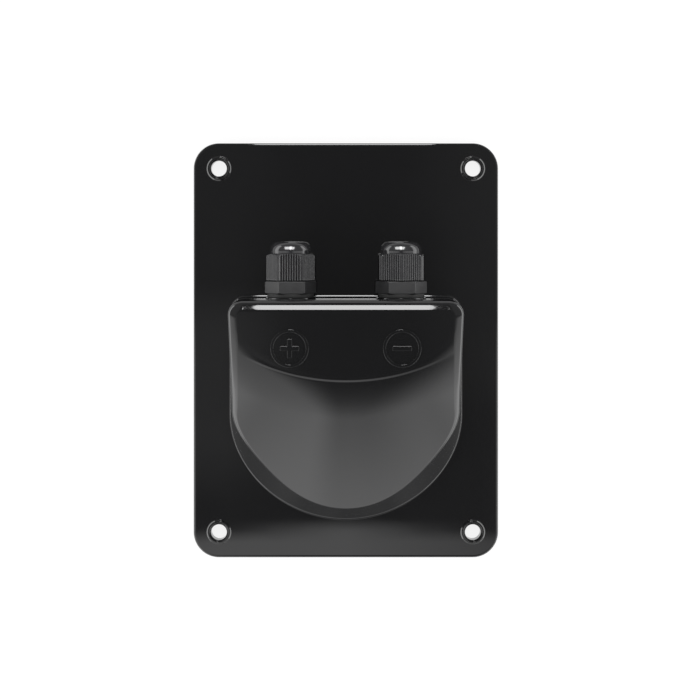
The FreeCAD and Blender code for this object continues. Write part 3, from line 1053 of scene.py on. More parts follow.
    def wall_patch(
        self, bm: bmesh.types.BMesh, rings: list[Ring], side: Side, low: int, high: int
    ) -> Ring:
        """Open a patch of the flat front wall for a gland.

        Args:
            bm: Mesh that holds the wall.
            rings: Rings of the wall's rows.
            side: Which gland.
            low: Lowest row of the patch.
            high: Highest row of the patch.

        Returns:
            Vertices around the patch.
        """
        first, last = self.patch_columns
        if side is Side.LEFT:
            total = len(rings[0])
            first, last = total - last, total - first
        faces = []
        for row in range(low, high):
            below, above = rings[row], rings[row + 1]
            for i in range(first, last):
                faces.append(bm.faces.get((below[i], below[i + 1], above[i + 1], above[i])))
        around = [rings[low][i] for i in range(first, last)]
        around += [rings[row][last] for row in range(low, high)]
        around += [rings[high][i] for i in range(last, first, -1)]
        around += [rings[row][first] for row in range(high, low, -1)]
        bmesh.ops.delete(bm, geom=faces, context="FACES")
        return around

    def gland_hole_between(self, bm: bmesh.types.BMesh, start: Ring, stop: Ring, side: Side) -> None:
        """Washer seat, shank hole and lock nut seat through the front wall.

        Args:
            bm: Mesh that holds the wall.
            start: Patch in the outer skin.
            stop: Patch in the inner skin.
            side: Which gland.
        """
        outside, inside = DOME_FRONT, DOME_FRONT - self.wall
        seat, inner_seat = outside + self.seat_height, inside - self.seat_height
        section = rounded_path(
            [
                (self.seat_radius, outside, 0.0),
                (self.seat_radius, seat, 0.1),
                (self.gland_hole, seat, 0.15),
                (self.gland_hole, inner_seat, 0.15),
                (self.inner_seat_radius, inner_seat, 0.1),
                (self.inner_seat_radius, inside, 0.0),
            ],
            3,
            False,
        )
        x = side.value * GLAND_X
        rows = [
            [(x + a, y, GLAND_Z + b) for a, b in circle(radius, self.ring_columns)] for radius, y in section
        ]
        rings = new_chain(bm, rows)
        fill_flat(bm, [start, rings[0]])
        fill_flat(bm, [stop, rings[-1]])

    def ribs(self, bm: bmesh.types.BMesh, skin: DomeSkin) -> None:
        """Stiffening ribs under the plate, each running from lip to lip or to the opening's rim.

        Args:
            bm: Mesh to add to.
            skin: Shape of the dome's outside, for the opening's rim.
        """
        sink = self.lip_bevel + self.rib_sink
        end_x, end_y = self.width / 2 - self.lip_width + sink, self.length / 2 - self.lip_width + sink
        shoulder = skin.front - skin.side_length
        runs = []
        half = self.rib_width / 2
        for i in range(-2, 3):
            y = i * self.rib_gap
            share = max(0.0, (shoulder - y) / skin.tail_length)
            rim_x = skin.half_width * math.sqrt(max(0.0, 1 - share**2)) - sink
            if y > skin.front:
                runs.append((-end_x, end_x, y - half, y + half, 0.0))
            else:
                runs.append((-end_x, -rim_x, y - half, y + half, 0.0))
                runs.append((rim_x, end_x, y - half, y + half, 0.0))
        for i in range(-1, 2):
            x = i * self.rib_gap
            rim_y = shoulder - skin.tail_length * math.sqrt(1 - (x / skin.half_width) ** 2) + sink
            for low, high in ((-end_y, rim_y), (skin.front - sink, end_y)):
                runs.append((x - half, x + half, low, high, self.rib_step))
        top = self.height - self.skin / 2
        for low_x, high_x, low_y, high_y, lift in runs:
            low_z = self.rib_drop + lift
            size = (high_x - low_x, high_y - low_y, top - low_z)
            middle = ((low_x + high_x) / 2, (low_y + high_y) / 2, (low_z + top) / 2)
            verts = bmesh.ops.create_cube(bm, size=1.0)["verts"]
            bmesh.ops.scale(bm, vec=size, verts=verts)
            bmesh.ops.translate(bm, vec=middle, verts=verts)
            edges = {edge for vert in verts for edge in vert.link_edges}
            lower = [edge for edge in edges if all(vert.co.z < middle[2] for vert in edge.verts)]
            bmesh.ops.bevel(
                bm,
                geom=lower,
                offset=self.rib_bevel,
                offset_type="OFFSET",
                affect="EDGES",
                segments=3,
                profile=0.5,
                material=-1,
            )


# The cable glands


@dataclass
class CableGland:
    """One nylon cable gland about its axis along Y: body, washer, lock nut, insert and dome nut."""

    side: Side
    hex_turn: float
    nut_turn: float
    nylon: MouldedNylon
    nut_nylon: MouldedNylon
    rubber: MouldedRubber
    x: float = GLAND_X
    z: float = GLAND_Z
    columns: int = 96
    seat: float = 23.25
    hex_start: float = 25.05
    hex_end: float = 30.35
    neck_end: float = 38.35
    slot_floor: float = 39.35
    finger_end: float = 43.35
    insert_seat: float = 31.95
    insert_start: float = 32.05
    insert_end: float = 44.35
    shank_end: float = 14.35
    lock_nut_start: float = 14.95
    lock_nut_end: float = 19.95
    thread_radius: float = 7.6
    thread_pitch: float = 1.503
    thread_depth: float = 0.5
    thread_row: float = 0.15
    running_fit: float = 0.05
    body_bore: float = 5.0
    finger_bore: float = 5.4
    finger_radius: float = 6.3
    fingers: int = 8
    hex_across_flats: float = 19.2
    hex_corner: float = 0.35
    hex_chamfer: float = 0.4
    hex_least_depth: float = 0.18
    hex_swell: float = 1.003
    hex_support: float = 0.15
    mouth_bevel: float = 0.3
    bore_bevel: float = 0.2
    lock_nut_across_flats: float = 22.0
    washer_radius: float = 10.0
    washer_edge: float = 0.4
    insert_bore: float = 4.0
    insert_radius: float = 5.35
    insert_lead: float = 0.45
    nut_start: float = 30.75
    nut_ribbed_end: float = 42.15
    nut_end: float = 47.25
    nut_across_flats: float = 18.8
    nut_corner: float = 0.5
    nut_edge: float = 0.08
    nut_chamfer: float = 1.25
    nut_land: float = 8.98
    nut_dome_radius: float = 8.75
    nut_dome_rim: float = 0.46
    nut_dome_bulge: float = 1.39
    nut_end_radius: float = 4.95
    nut_throat: float = 4.4
    nut_throat_y: float = 46.0
    nut_cone_radius: float = 6.65
    nut_cone_y: float = 43.7
    nut_bore_y: float = 38.95
    rib_pitch: float = 1.07
    rib_height: float = 0.5
    corner_tilts: Sequence[int] = range(0, 61, 12)

    def build(self) -> None:
        """Build and dress every piece of the gland."""
        self.body()
        self.washer()
        self.lock_nut()
        self.insert()
        self.dome_nut()

    def name(self, piece: str) -> str:
        """Name of one of this gland's pieces."""
        return f"{self.side.name.lower()}_{piece}"

    def about_axis(self, points: Sequence[Point], y: float | Sequence[float]) -> list[Place]:
        """Places around the gland's axis.

        Args:
            points: Distances from the axis along X and Z.
            y: One place along the axis for all points, or one for each.

        Returns:
            Places in the housing's frame.
        """
        axis_x = self.side.value * self.x
        along = [y] * len(points) if isinstance(y, float) else y
        return [(axis_x + a, each, self.z + b) for (a, b), each in zip(points, along)]

    def six_sides(self, side: Sequence[Point], turn: float) -> list[Point]:
        """Outline of a hexagon from that of one of its sides.

        Args:
            side: Points of the side, along it and out from the axis.
            turn: Degrees that the hexagon is turned about the axis.

        Returns:
            Points around it.
        """
        points = []
        for k in range(6):
            spin = math.radians(turn + 60 * k)
            c, s = math.cos(spin), math.sin(spin)
            points += [(a * c + b * s, b * c - a * s) for a, b in side]
        return points

    def hexagon(self, across_flats: float, turn: float) -> list[Point]:
        """Hexagon with rounded corners, points spread over its flats, from the middle of a corner.

        Args:
            across_flats: Distance between opposite flats.
            turn: Degrees that it is turned about the axis.

        Returns:
            As many points as the gland's rings have columns.
        """
        apothem, corner = across_flats / 2, self.hex_corner
        half_flat = (apothem - corner) / math.sqrt(3)
        per_side = self.columns // 6
        side = []
        for j in range(per_side):
            if j <= 2:
                along, tilt = -half_flat, -30.0 + 15.0 * j
            elif j == per_side - 1:
                along, tilt = half_flat, 15.0
            else:
                along, tilt = -half_flat + 2 * half_flat * (j - 2) / (per_side - 4), 0.0
            lean = math.radians(tilt)
            side.append((along + corner * math.sin(lean), apothem - corner + corner * math.cos(lean)))
        return self.six_sides(side, turn)

    def ring_points(self, radius: float) -> list[Point]:
        """Round ring whose first point lines up with a hexagon's first corner.

        Args:
            radius: Radius of the ring.

        Returns:
            As many points as the gland's rings have columns.
        """
        spins = [math.radians(-30 + 360 * i / self.columns) for i in range(self.columns)]
        return [(radius * math.sin(spin), radius * math.cos(spin)) for spin in spins]

    def round_row(self, radius: float, y: float) -> list[Place]:
        """Round row at a radius and a place along the axis."""
        return self.about_axis(self.ring_points(radius), y)

    def thread_rows(self, start: float, stop: float) -> list[list[Place]]:
        """Rows of a screw thread, with its depth run out at both ends.

        Args:
            start: Place along the axis where the thread starts.
            stop: Place where it stops.

        Returns:
            Places of each row.
        """
        rows = []
        count = math.ceil((stop - start) / self.thread_row)
        unit = self.ring_points(1.0)
        for j in range(count + 1):
            y = start + (stop - start) * j / count
            fade = smooth_step(min(y - start, stop - y) / (self.thread_pitch / 2))
            points = []
            for i, (a, b) in enumerate(unit):
                phase = (y / self.thread_pitch + i / self.columns) % 1
                crest = abs(phase - 0.5) * 2
                radius = self.thread_radius - self.thread_depth * fade * smooth_step((0.85 - crest) / 0.7)
                points.append((radius * a, radius * b))
            rows.append(self.about_axis(points, y))
        return rows

    def hexagon_rows(self, across_flats: float, turn: float, start: float, stop: float) -> list[list[Place]]:
        """Rows up the side of a hexagon whose corners are turned off at both ends.

        Args:
            across_flats: Distance between opposite flats.
            turn: Degrees that it is turned about the axis.
            start: Place along the axis where it starts.
            stop: Place where it stops.

        Returns:
            Places of each row, from the start face to the end face.
        """
        full = self.hexagon(across_flats, turn)
        land = across_flats / math.sqrt(3) - self.hex_chamfer
        depths, faces = [], []
        for a, b in full:
            radius = math.hypot(a, b)
            depth = max(self.hex_least_depth, radius - land + 0.1)
            depths.append(depth)
            share = (radius - depth) / radius
            faces.append((a * share, b * share))
        soft = [(a * 0.5 + c * 0.5, b * 0.5 + d * 0.5) for (a, b), (c, d) in zip(full, faces)]
        soft = [(a * self.hex_swell, b * self.hex_swell) for a, b in soft]
        steps = [(faces, 0.0, 0.0), (soft, 0.5, 0.0), (full, 1.0, 0.0), (full, 1.0, self.hex_support)]
        rows = []
        for points, share, gap in steps:
            rows.append(self.about_axis(points, [start + depth * share + gap for depth in depths]))
        for points, share, gap in reversed(steps):
            rows.append(self.about_axis(points, [stop - depth * share - gap for depth in depths]))
        return rows

    def body(self) -> None:
        """Hexagon flange with threaded shank and neck, and the ring of clamping fingers."""
        bm = bmesh.new()
        thread, bore = self.thread_radius, self.body_bore

        chamfer = self.hex_chamfer
        rows = [
            self.round_row(bore + self.bore_bevel, self.shank_end),
            self.round_row(thread - chamfer, self.shank_end),
        ]
        rows += self.thread_rows(self.shank_end + chamfer, self.hex_start - 0.1)
        rows += [self.round_row(thread, self.hex_start), self.round_row(thread + 0.2, self.hex_start)]
        rows += self.hexagon_rows(self.hex_across_flats, self.hex_turn, self.hex_start, self.hex_end)
        rows += [self.round_row(thread + 0.2, self.hex_end), self.round_row(thread, self.hex_end + 0.1)]
        rows += self.thread_rows(self.hex_end + 0.2, self.neck_end - chamfer)
        rows += [
            self.round_row(thread - chamfer, self.neck_end),
            self.round_row(self.finger_radius, self.neck_end),
        ]
        rings = new_chain(bm, rows)
        outer = extrude_ring(bm, rings[-1], self.round_row(self.finger_radius, self.slot_floor))
        inner = extrude_ring(bm, outer, self.round_row(self.finger_bore, self.slot_floor))
        rows = [
            self.round_row(self.finger_bore, self.insert_seat),
            self.round_row(bore, self.insert_seat),
            self.round_row(bore, self.shank_end + self.bore_bevel),
            self.round_row(bore + self.bore_bevel, self.shank_end),
        ]
        extrude_chain(bm, inner, rows)
        self.clamping_fingers(bm, outer, inner)
        finished_piece(bm, self.name("gland_body_nylon"), self.name("gland_body"), self.nylon, 40.0)

    def clamping_fingers(self, bm: bmesh.types.BMesh, outer: Ring, inner: Ring) -> None:
        """Raise the fingers from the band between two rings, with slots left between them.

        Args:
            bm: Mesh that holds the rings.
            outer: Ring on the outside of the band.
            inner: Ring on its inside.
        """
        per_finger = self.columns // self.fingers
        faces = []
        for i in range(self.columns):
            if i % per_finger < per_finger - 3:
                corners = (outer[i], outer[i + 1 - self.columns], inner[i + 1 - self.columns], inner[i])
                faces.append(bm.faces.get(corners))
        axis_x = self.side.value * self.x
        tip = (self.finger_radius - self.finger_bore) / 2
        for y, slim in ((self.finger_end - tip, 0.0), (self.finger_end, tip)):
            made = bmesh.ops.extrude_face_region(bm, geom=faces)["geom"]
            faces = [item for item in made if isinstance(item, bmesh.types.BMFace)]
            for vert in {vert for face in faces for vert in face.verts}:
                arm = Vector((vert.co.x - axis_x, vert.co.z - self.z))
                if arm.length > (self.finger_radius + self.finger_bore) / 2:
                    arm *= (arm.length - slim) / arm.length
                vert.co = (axis_x + arm.x, y, self.z + arm.y)

    def spun(self, section: Sequence[Point]) -> bmesh.types.BMesh:
        """Spin a closed section about the gland's axis.

        Args:
            section: Radius and place along the axis of each point.

        Returns:
            The closed mesh.
        """
        bm = bmesh.new()
        axis_x = self.side.value * self.x
        ring = new_ring(bm, [(axis_x + radius, y, self.z) for radius, y in section])
        bmesh.ops.spin(
            bm,
            geom=ring + ring_edges(bm, ring),
            cent=(axis_x, 0.0, self.z),
            axis=(0.0, 1.0, 0.0),
            dvec=(0.0, 0.0, 0.0),
            angle=math.tau,
            steps=self.columns,
            use_merge=True,
        )
        return bm

    def washer(self) -> None:
        """Sealing washer between the hexagon and the wall."""
        inner, outer, edge = self.thread_radius + self.running_fit, self.washer_radius, self.washer_edge
        corners = [
            (inner, self.seat, 0.1),
            (outer, self.seat, edge),
            (outer, self.hex_start, edge),
            (inner, self.hex_start, 0.1),
        ]
        bm = self.spun(rounded_path(corners, 5, True))
        finished_piece(bm, self.name("washer_rubber"), self.name("gland_washer"), self.rubber)

    def lock_nut(self) -> None:
        """Hexagon nut that clamps the wall from inside."""
        bm = bmesh.new()
        bore = self.thread_radius + self.running_fit
        start, stop = self.lock_nut_start, self.lock_nut_end
        bevel = self.mouth_bevel
        rows = [self.round_row(bore + bevel, start)]
        rows += self.hexagon_rows(self.lock_nut_across_flats, 0.0, start, stop)
        rows += [
            self.round_row(bore + bevel, stop),
            self.round_row(bore, stop - bevel),
            self.round_row(bore, start + bevel),
            self.round_row(bore + bevel, start),
        ]
        new_chain(bm, rows)
        finished_piece(bm, self.name("lock_nut_nylon"), self.name("lock_nut"), self.nylon, 40.0)

    def insert(self) -> None:
        """Rubber sleeve that the fingers press onto the cable."""
        lead = self.insert_lead
        corners = [
            (self.insert_bore, self.insert_start, lead),
            (self.insert_radius, self.insert_start, lead),
            (self.insert_radius, self.insert_end, lead),
            (self.insert_bore, self.insert_end, lead),
        ]
        bm = self.spun(rounded_path(corners, 5, True))
        finished_piece(bm, self.name("insert_rubber"), self.name("sealing_insert"), self.rubber)

    def rib_count(self) -> int:
        """Number of grip ribs on each flat."""
        return int((self.nut_across_flats - 2 * self.rib_height) / math.sqrt(3) / self.rib_pitch)

    def rib_section(self) -> list[Point]:
        """Section of a rib: places across it as shares of the pitch, with heights as shares of its own."""
        rise = [(-0.489, 0.0), (-0.158, 0.843), (-0.132, 0.897), (-0.07, 0.973), (0.0, 1.0)]
        return rise + [(-share, lift) for share, lift in rise[-2::-1]]

    def ribbed_outline(self, inset: float) -> list[Point]:
        """Hexagon with grip ribs on its flats.

        Args:
            inset: Distance inside the full outline.

        Returns:
            Points around it, the same number for every inset.
        """
        root = self.nut_across_flats / 2 - inset - self.rib_height
        corner = max(self.nut_corner - inset, 0.05)
        half_flat = (root - corner) / math.sqrt(3)
        side = []
        for j in range(self.rib_count()):
            middle = (j - (self.rib_count() - 1) / 2) * self.rib_pitch
            for share, lift in self.rib_section():
                side.append((middle + share * self.rib_pitch, root + lift * self.rib_height))
        for tilt in self.corner_tilts:
            lean = math.radians(tilt)
            side.append((half_flat + corner * math.sin(lean), root - corner + corner * math.cos(lean)))
        return self.six_sides(side, self.nut_turn)

    def dome_nut(self) -> None:
        """Ribbed hexagon nut with its domed end, throat, pressing cone and bore."""
        bm = bmesh.new()
        layer = bm.verts.layers.float.new(RELIEF)
        full = self.ribbed_outline(0.0)
        cone = self.nut_chamfer / (self.nut_across_flats / math.sqrt(3) - self.nut_land)
        shoulders = [self.nut_ribbed_end - (math.hypot(a, b) - self.nut_land) * cone for a, b in full]
        unit = [(a / math.hypot(a, b), b / math.hypot(a, b)) for a, b in full]

        def round_row(radius: float, y: float) -> list[Place]:
            """Round row at a radius and a place along the axis."""
            return self.about_axis([(a * radius, b * radius) for a, b in unit], y)

        edge, bevel = self.nut_edge, self.mouth_bevel
        softened = []
        for (a, b), (c, d) in zip(full, unit):
            softened.append((a - c * edge, b - d * edge))
        bore = self.thread_radius + self.running_fit
        start = self.nut_start
        rows = [
            round_row(bore + bevel, start),
            self.about_axis(self.ribbed_outline(0.25), start),
            self.about_axis(self.ribbed_outline(0.07), start + 0.07),
            self.about_axis(full, start + 0.25),
            self.about_axis(full, start + 0.5),
            self.about_axis(full, [y - 0.3 for y in shoulders]),
            self.about_axis(full, [y - 0.05 for y in shoulders]),
            self.about_axis(softened, [y + edge * cone - 0.01 for y in shoulders]),
            round_row(self.nut_land, self.nut_ribbed_end),
        ]
        rows += [round_row(radius, y) for radius, y in self.domed_end()]
        rows += [
            round_row(self.nut_throat, self.nut_throat_y),
            round_row(self.nut_cone_radius, self.nut_cone_y),
            round_row(bore, self.nut_bore_y),
            round_row(bore, start + bevel),
            round_row(bore + bevel, start),
        ]
        rings = new_chain(bm, rows)
        # The relief paints shade into the ribs' valleys and sheen onto their crests, through the nylon's
        # specular level
        relief = [2 * lift - 1 for _, lift in self.rib_section()] * self.rib_count()
        relief = (relief + [0.0] * len(self.corner_tilts)) * 6
        # The ribs run from the outline's first row to the softened one before the round land
        for ring in rings[1:8]:
            for vert, level in zip(ring, relief):
                vert[layer] = level
        finished_piece(bm, self.name("dome_nut_nylon"), self.name("dome_nut"), self.nut_nylon, 32.0)

    def domed_end(self) -> list[Point]:
        """Section of the nut's dome, from the ribbed end to the throat.

        Returns:
            Radius and place along the axis of each point.
        """
        base = Vector((self.nut_dome_radius, self.nut_ribbed_end + self.nut_dome_rim))
        end = Vector((self.nut_end_radius, self.nut_end))
        chord = end - base
        out = Vector((chord.y, -chord.x)).normalized()
        radius = (chord.length**2 / 4 + self.nut_dome_bulge**2) / (2 * self.nut_dome_bulge)
        centre = (base + end) / 2 + out * (self.nut_dome_bulge - radius)
        start = math.atan2(base.y - centre.y, base.x - centre.x)
        stop = math.atan2(end.y - centre.y, end.x - centre.x)
        points = [
            (self.nut_dome_radius + 0.06, self.nut_ribbed_end),
            (self.nut_dome_radius, self.nut_ribbed_end + 0.06),
            (base.x, base.y - 0.1),
        ]
        for j in range(19):
            angle = start + (stop - start) * j / 18
            points.append((centre.x + radius * math.cos(angle), centre.y + radius * math.sin(angle)))
        points += [
            (self.nut_throat + 0.15, self.nut_end),
            (self.nut_throat + 0.04, self.nut_end - 0.04),
            (self.nut_throat, self.nut_end - 0.15),
        ]
        return points


# The studio


@dataclass(frozen=True)
class Lamp:
    """Rectangular lamp that is seen in reflections, with its place, aim and size in metres.

    Its radiance is the brightness of its face, where 1 is a white wall.
    """

    name: str
    place: Place
    aim: Place
    size: Point
    radiance: float


@dataclass(frozen=True)
class TentCloth:
    """Brightness of the tent's cloth, where 1 is a white wall.

    Places are in metres on the cloth as it would lie if it hung level: x to the right and back behind the
    object's middle. A stretch is where an eased change starts and how far it runs, and it is given for the
    place's negative where the change falls. A climb is brightness for each metre.
    """

    dark: float = 0.14
    left_pale: float = 0.22
    left_stretch: Point = (0.04, 0.1)
    left_near_stretch: Point = (-0.03, 0.09)
    left_far_stretch: Point = (-0.27, 0.1)
    right_pale: float = 0.1
    right_stretch: Point = (0.06, 0.11)
    right_far_stretch: Point = (-0.18, 0.1)
    dark_climb: float = 0.21
    dark_climb_end: float = 2.1
    rear_pale: float = 1.15
    rear_stretch: Point = (2.0, 0.55)
    ahead_end: float = 0.03
    ahead: float = 0.13
    ahead_pale: float = 0.3
    ahead_stretch: Point = (0.12, 0.22)
    lit: float = 1.15
    lit_climb: float = 0.34
    lit_climb_end: float = 2.2
    lit_rear: float = 0.6
    lit_rear_stretch: Point = (1.9, 0.6)
    outer: float = 0.55
    outer_climb: float = 0.45
    outer_climb_end: float = 2.4
    outer_start: Point = (0.15, 0.25)
    outer_length: Point = (0.65, 0.05)
    outer_length_end: float = 4.0
    near: float = 0.82
    near_stretch: Point = (0.05, 0.2)
    tilt: Point = (1.01, 0.03)
    tilt_end: float = 1.5
    far_stretch: Point = (0.3, 0.12)
    left_gap: Point = (0.17, 0.33)
    left_gap_far: Point = (-0.14, -0.07)
    right_gap: Point = (0.15, 0.36)
    right_gap_far: Point = (-0.04, 0.26)
    start_stretch: Point = (0.035, 0.055)
    bar: float = 1.3
    bar_falls: Point = (1.75, 1.5)
    bar_bend: float = 0.085
    bar_near_stretch: Point = (0.273, 0.016)
    bar_far_stretch: Point = (-0.36, 0.015)
    bar_side_stretch: Point = (-0.3, 0.1)
    foot: float = 1.5
    foot_stretch: Point = (2.7, 1.5)

    def dark_cloth(self, x: float, back: float) -> float:
        """Brightness of the dark cloth, a little paler to both sides and far behind.

        Args:
            x: Place to the right.
            back: Place behind.

        Returns:
            Brightness there.
        """
        level = self.dark + self.left_pale * eased(-x, self.left_stretch) * eased(
            back, self.left_near_stretch
        ) * eased(-back, self.left_far_stretch)
        level += self.right_pale * eased(x, self.right_stretch) * eased(-back, self.right_far_stretch)
        level += self.dark_climb * min(back, self.dark_climb_end) ** 2
        level += self.rear_pale * eased(back, self.rear_stretch)
        if back < self.ahead_end:
            level = max(level, self.ahead + self.ahead_pale * eased(abs(x), self.ahead_stretch))
        return level

    def lit_cloth(self, x: float, back: float) -> float:
        """Brightness of the lit cloth, which grows outwards and towards the rear.

        Args:
            x: Place to the right.
            back: Place behind.

        Returns:
            Brightness there.
        """
        level = self.lit + self.lit_climb * min(back, self.lit_climb_end)
        level += self.lit_rear * eased(back, self.lit_rear_stretch)
        start = self.outer_start[0] + self.outer_start[1] * back
        length = self.outer_length[0] - self.outer_length[1] * min(back, self.outer_length_end)
        outer = self.outer + self.outer_climb * min(back, self.outer_climb_end)
        level += outer * eased(abs(x), (start, length))
        level *= self.near + (1 - self.near) * eased(back, self.near_stretch)
        return level * (self.tilt[0] - self.tilt[1] * max(-self.tilt_end, min(self.tilt_end, x)))

    def lit_share(self, x: float, back: float) -> float:
        """Share of lit cloth, which starts behind the camera either side of a dark gap.

        Args:
            x: Place to the right.
            back: Place behind.

        Returns:
            Share from 0 to 1.
        """
        far = eased(back, self.far_stretch)
        gap, gap_far = (self.left_gap, self.left_gap_far) if x < 0 else (self.right_gap, self.right_gap_far)
        low, high = gap[0] + gap_far[0] * far, gap[1] + gap_far[1] * far
        return eased(back, self.start_stretch) * eased(abs(x), (low, high - low))

    def rear_bar(self, x: float, back: float) -> float:
        """Brightness that a pale bar behind the camera adds, for the plate's rear edge.

        Args:
            x: Place to the right.
            back: Place behind.

        Returns:
            Brightness to add.
        """
        share = eased(back - self.bar_bend * abs(x), self.bar_near_stretch)
        share *= eased(-back, self.bar_far_stretch)
        level = self.bar - self.bar_falls[0] * abs(x) - self.bar_falls[1] * x
        return share * eased(-abs(x), self.bar_side_stretch) * level

    def glow(self, x: float, y: float) -> float:
        """Brightness of the cloth.

        Args:
            x: Place to the right, in metres, as the cloth would lie if it hung level.
            y: Place ahead, likewise.

        Returns:
            Brightness there.
        """
        back = max(0.0, -y)
        dark = self.dark_cloth(x, back)
        level = dark + self.lit_share(x, back) * (self.lit_cloth(x, back) - dark) + self.rear_bar(x, back)
        return level + eased(back, self.foot_stretch) * (self.foot - level)


@dataclass
class Studio:
    """White floor, a tent of lit cloth, two low boards and two lamps around the object, and the camera."""

    floor_size: float = 8.0
    floor_glow: float = 0.85
    floor_colour: str = "#f2f2f2"
    floor_drop: float = 0.0002
    tent_height: float = 1.5
    tent_cells: int = 240
    cloth: TentCloth = TentCloth()
    strip: Lamp = Lamp("strip_lamp", (-0.0017, 0.62, 0.81), (-0.0017, 0.02, 0.04), (0.1626, 0.83), 13.5)
    wide: Lamp = Lamp("wide_lamp", (-0.1, 0.62, 0.81), (0.0, 0.044, 0.029), (0.9, 0.6), 17.0)
    board_size: Place = (0.3, 0.8, 0.12)
    board_glow: float = 4.0
    surround: float = 0.55
    camera_place: Place = (0.0, 0.0477, 0.906)
    camera_aim: Place = (0.0, 0.0477, 0.006)
    camera_shift: Point = (0.0059, -0.1563)
    focal_length: float = 106.5
    sensor: float = 36.0

    def build(self) -> None:
        """Build the floor, tent, boards, lamps, world and camera."""
        self.floor()
        self.tent()
        for side in Side:
            self.side_board(side)
        self.lamp(self.strip)
        self.nut_lamp()
        self.world()
        self.camera()
        log.info("studio: floor, tent, boards, lamps, world and camera")

    def seen(self, tree: bpy.types.NodeTree) -> bpy.types.NodeSocket:
        """Whether a ray comes from the camera, a reflection or glass.

        Args:
            tree: Node tree to add to.

        Returns:
            Socket that is one for such a ray.
        """
        path = add_node(tree, "ShaderNodeLightPath", {}, {})
        camera, glossy = path.outputs["Is Camera Ray"], path.outputs["Is Glossy Ray"]
        either = add_node(tree, "ShaderNodeMath", {"operation": "MAXIMUM"}, {0: camera, 1: glossy})
        through = path.outputs["Is Transmission Ray"]
        all_three = add_node(
            tree, "ShaderNodeMath", {"operation": "MAXIMUM"}, {0: either.outputs[0], 1: through}
        )
        return all_three.outputs[0]

    def stage_piece(self, bm: bmesh.types.BMesh, name: str) -> bpy.types.Object:
        """Turn a mesh into a part of the studio.

        Args:
            bm: Mesh in metres, freed here.
            name: Name of the object.

        Returns:
            The object, linked into the scene.
        """
        mesh = bpy.data.meshes.new(name)
        bm.to_mesh(mesh)
        bm.free()
        mesh.shade_smooth()
        piece = bpy.data.objects.new(name, mesh)
        bpy.context.scene.collection.objects.link(piece)
        return piece

    def floor(self) -> None:
        """White floor that shows as white and still takes the object's shadow."""
        bm = bmesh.new()
        bmesh.ops.create_grid(bm, x_segments=1, y_segments=1, size=self.floor_size / 2)
        bmesh.ops.translate(bm, vec=(0.0, 0.0, -self.floor_drop), verts=bm.verts)
        piece = self.stage_piece(bm, "white_floor")
        material = blank_material("white_paper_sweep")
        tree = material.node_tree
        matt = add_node(tree, "ShaderNodeBsdfDiffuse", {"Color": linear(self.floor_colour)}, {})
        glow = add_node(tree, "ShaderNodeEmission", {"Strength": 1.0}, {})
        share = add_node(
            tree, "ShaderNodeMath", {"operation": "MULTIPLY", 1: self.floor_glow}, {0: self.seen(tree)}
        )
        mix = add_node(
            tree,
            "ShaderNodeMixShader",
            {},
            {0: share.outputs[0], 1: matt.outputs[0], 2: glow.outputs[0]},
        )
        add_node(tree, "ShaderNodeOutputMaterial", {}, {"Surface": mix.outputs[0]})
        piece.data.materials.append(material)

    def tent(self) -> None:
        """Tent of cloth over the object, dark ahead and overhead, lit from behind at its back and sides."""
        bm = bmesh.new()
        half = self.floor_size / 2
        bmesh.ops.create_grid(bm, x_segments=self.tent_cells, y_segments=self.tent_cells, size=1.0)
        shade = bm.verts.layers.float.new("glow")
        for vert in bm.verts:
            # Cells are finest over the object, where the cloth shows in its level faces
            across, along = (0.2 * share + 0.8 * share**3 for share in vert.co.xy)
            slope = math.sqrt(max(1e-6, (1 - across**2) * (1 - along**2)))
            vert.co = (half * across, half * along, self.tent_height * slope)
            vert[shade] = self.cloth.glow(half * across / slope, half * along / slope)
        piece = self.stage_piece(bm, "lit_tent")
        piece.visible_camera = False
        material = blank_material("backlit_tent_cloth")
        tree = material.node_tree
        cloth = add_node(tree, "ShaderNodeAttribute", {"attribute_name": "glow"}, {})
        light = add_node(tree, "ShaderNodeEmission", {}, {"Strength": cloth.outputs["Fac"]})
        add_node(tree, "ShaderNodeOutputMaterial", {}, {"Surface": light.outputs[0]})
        piece.data.materials.append(material)

    def side_board(self, side: Side) -> None:
        """Low lit board beside the object, whose reflection outlines the dome's edge.

        Args:
            side: Which side of the object it stands on.
        """
        bm = bmesh.new()
        bmesh.ops.create_grid(bm, x_segments=1, y_segments=1, size=0.5)
        across, along, up = self.board_size
        upright = Matrix.Rotation(math.pi / 2, 3, "Y")
        bmesh.ops.rotate(bm, cent=(0.0, 0.0, 0.0), matrix=upright, verts=bm.verts)
        bmesh.ops.scale(bm, vec=(1.0, along, up), verts=bm.verts)
        bmesh.ops.translate(bm, vec=(side.value * across, 0.0, up / 2), verts=bm.verts)
        piece = self.stage_piece(bm, f"{side.name.lower()}_side_board")
        piece.visible_camera = False
        material = blank_material(f"{side.name.lower()}_lit_board")
        tree = material.node_tree
        light = add_node(tree, "ShaderNodeEmission", {"Strength": self.board_glow}, {})
        add_node(tree, "ShaderNodeOutputMaterial", {}, {"Surface": light.outputs[0]})
        piece.data.materials.append(material)

    def lamp(self, lamp: Lamp) -> bpy.types.Object:
        """Put up a lamp.

        Args:
            lamp: Its name, place, aim, size and radiance.

        Returns:
            The lamp as an object.
        """
        data = bpy.data.lights.new(lamp.name, "AREA")
        data.shape = "RECTANGLE"
        data.size, data.size_y = lamp.size
        data.energy = lamp.radiance * math.pi * lamp.size[0] * lamp.size[1]
        piece = bpy.data.objects.new(lamp.name, data)
        piece.matrix_world = self.facing(Vector(lamp.place), Vector(lamp.aim))
        bpy.context.scene.collection.objects.link(piece)
        return piece

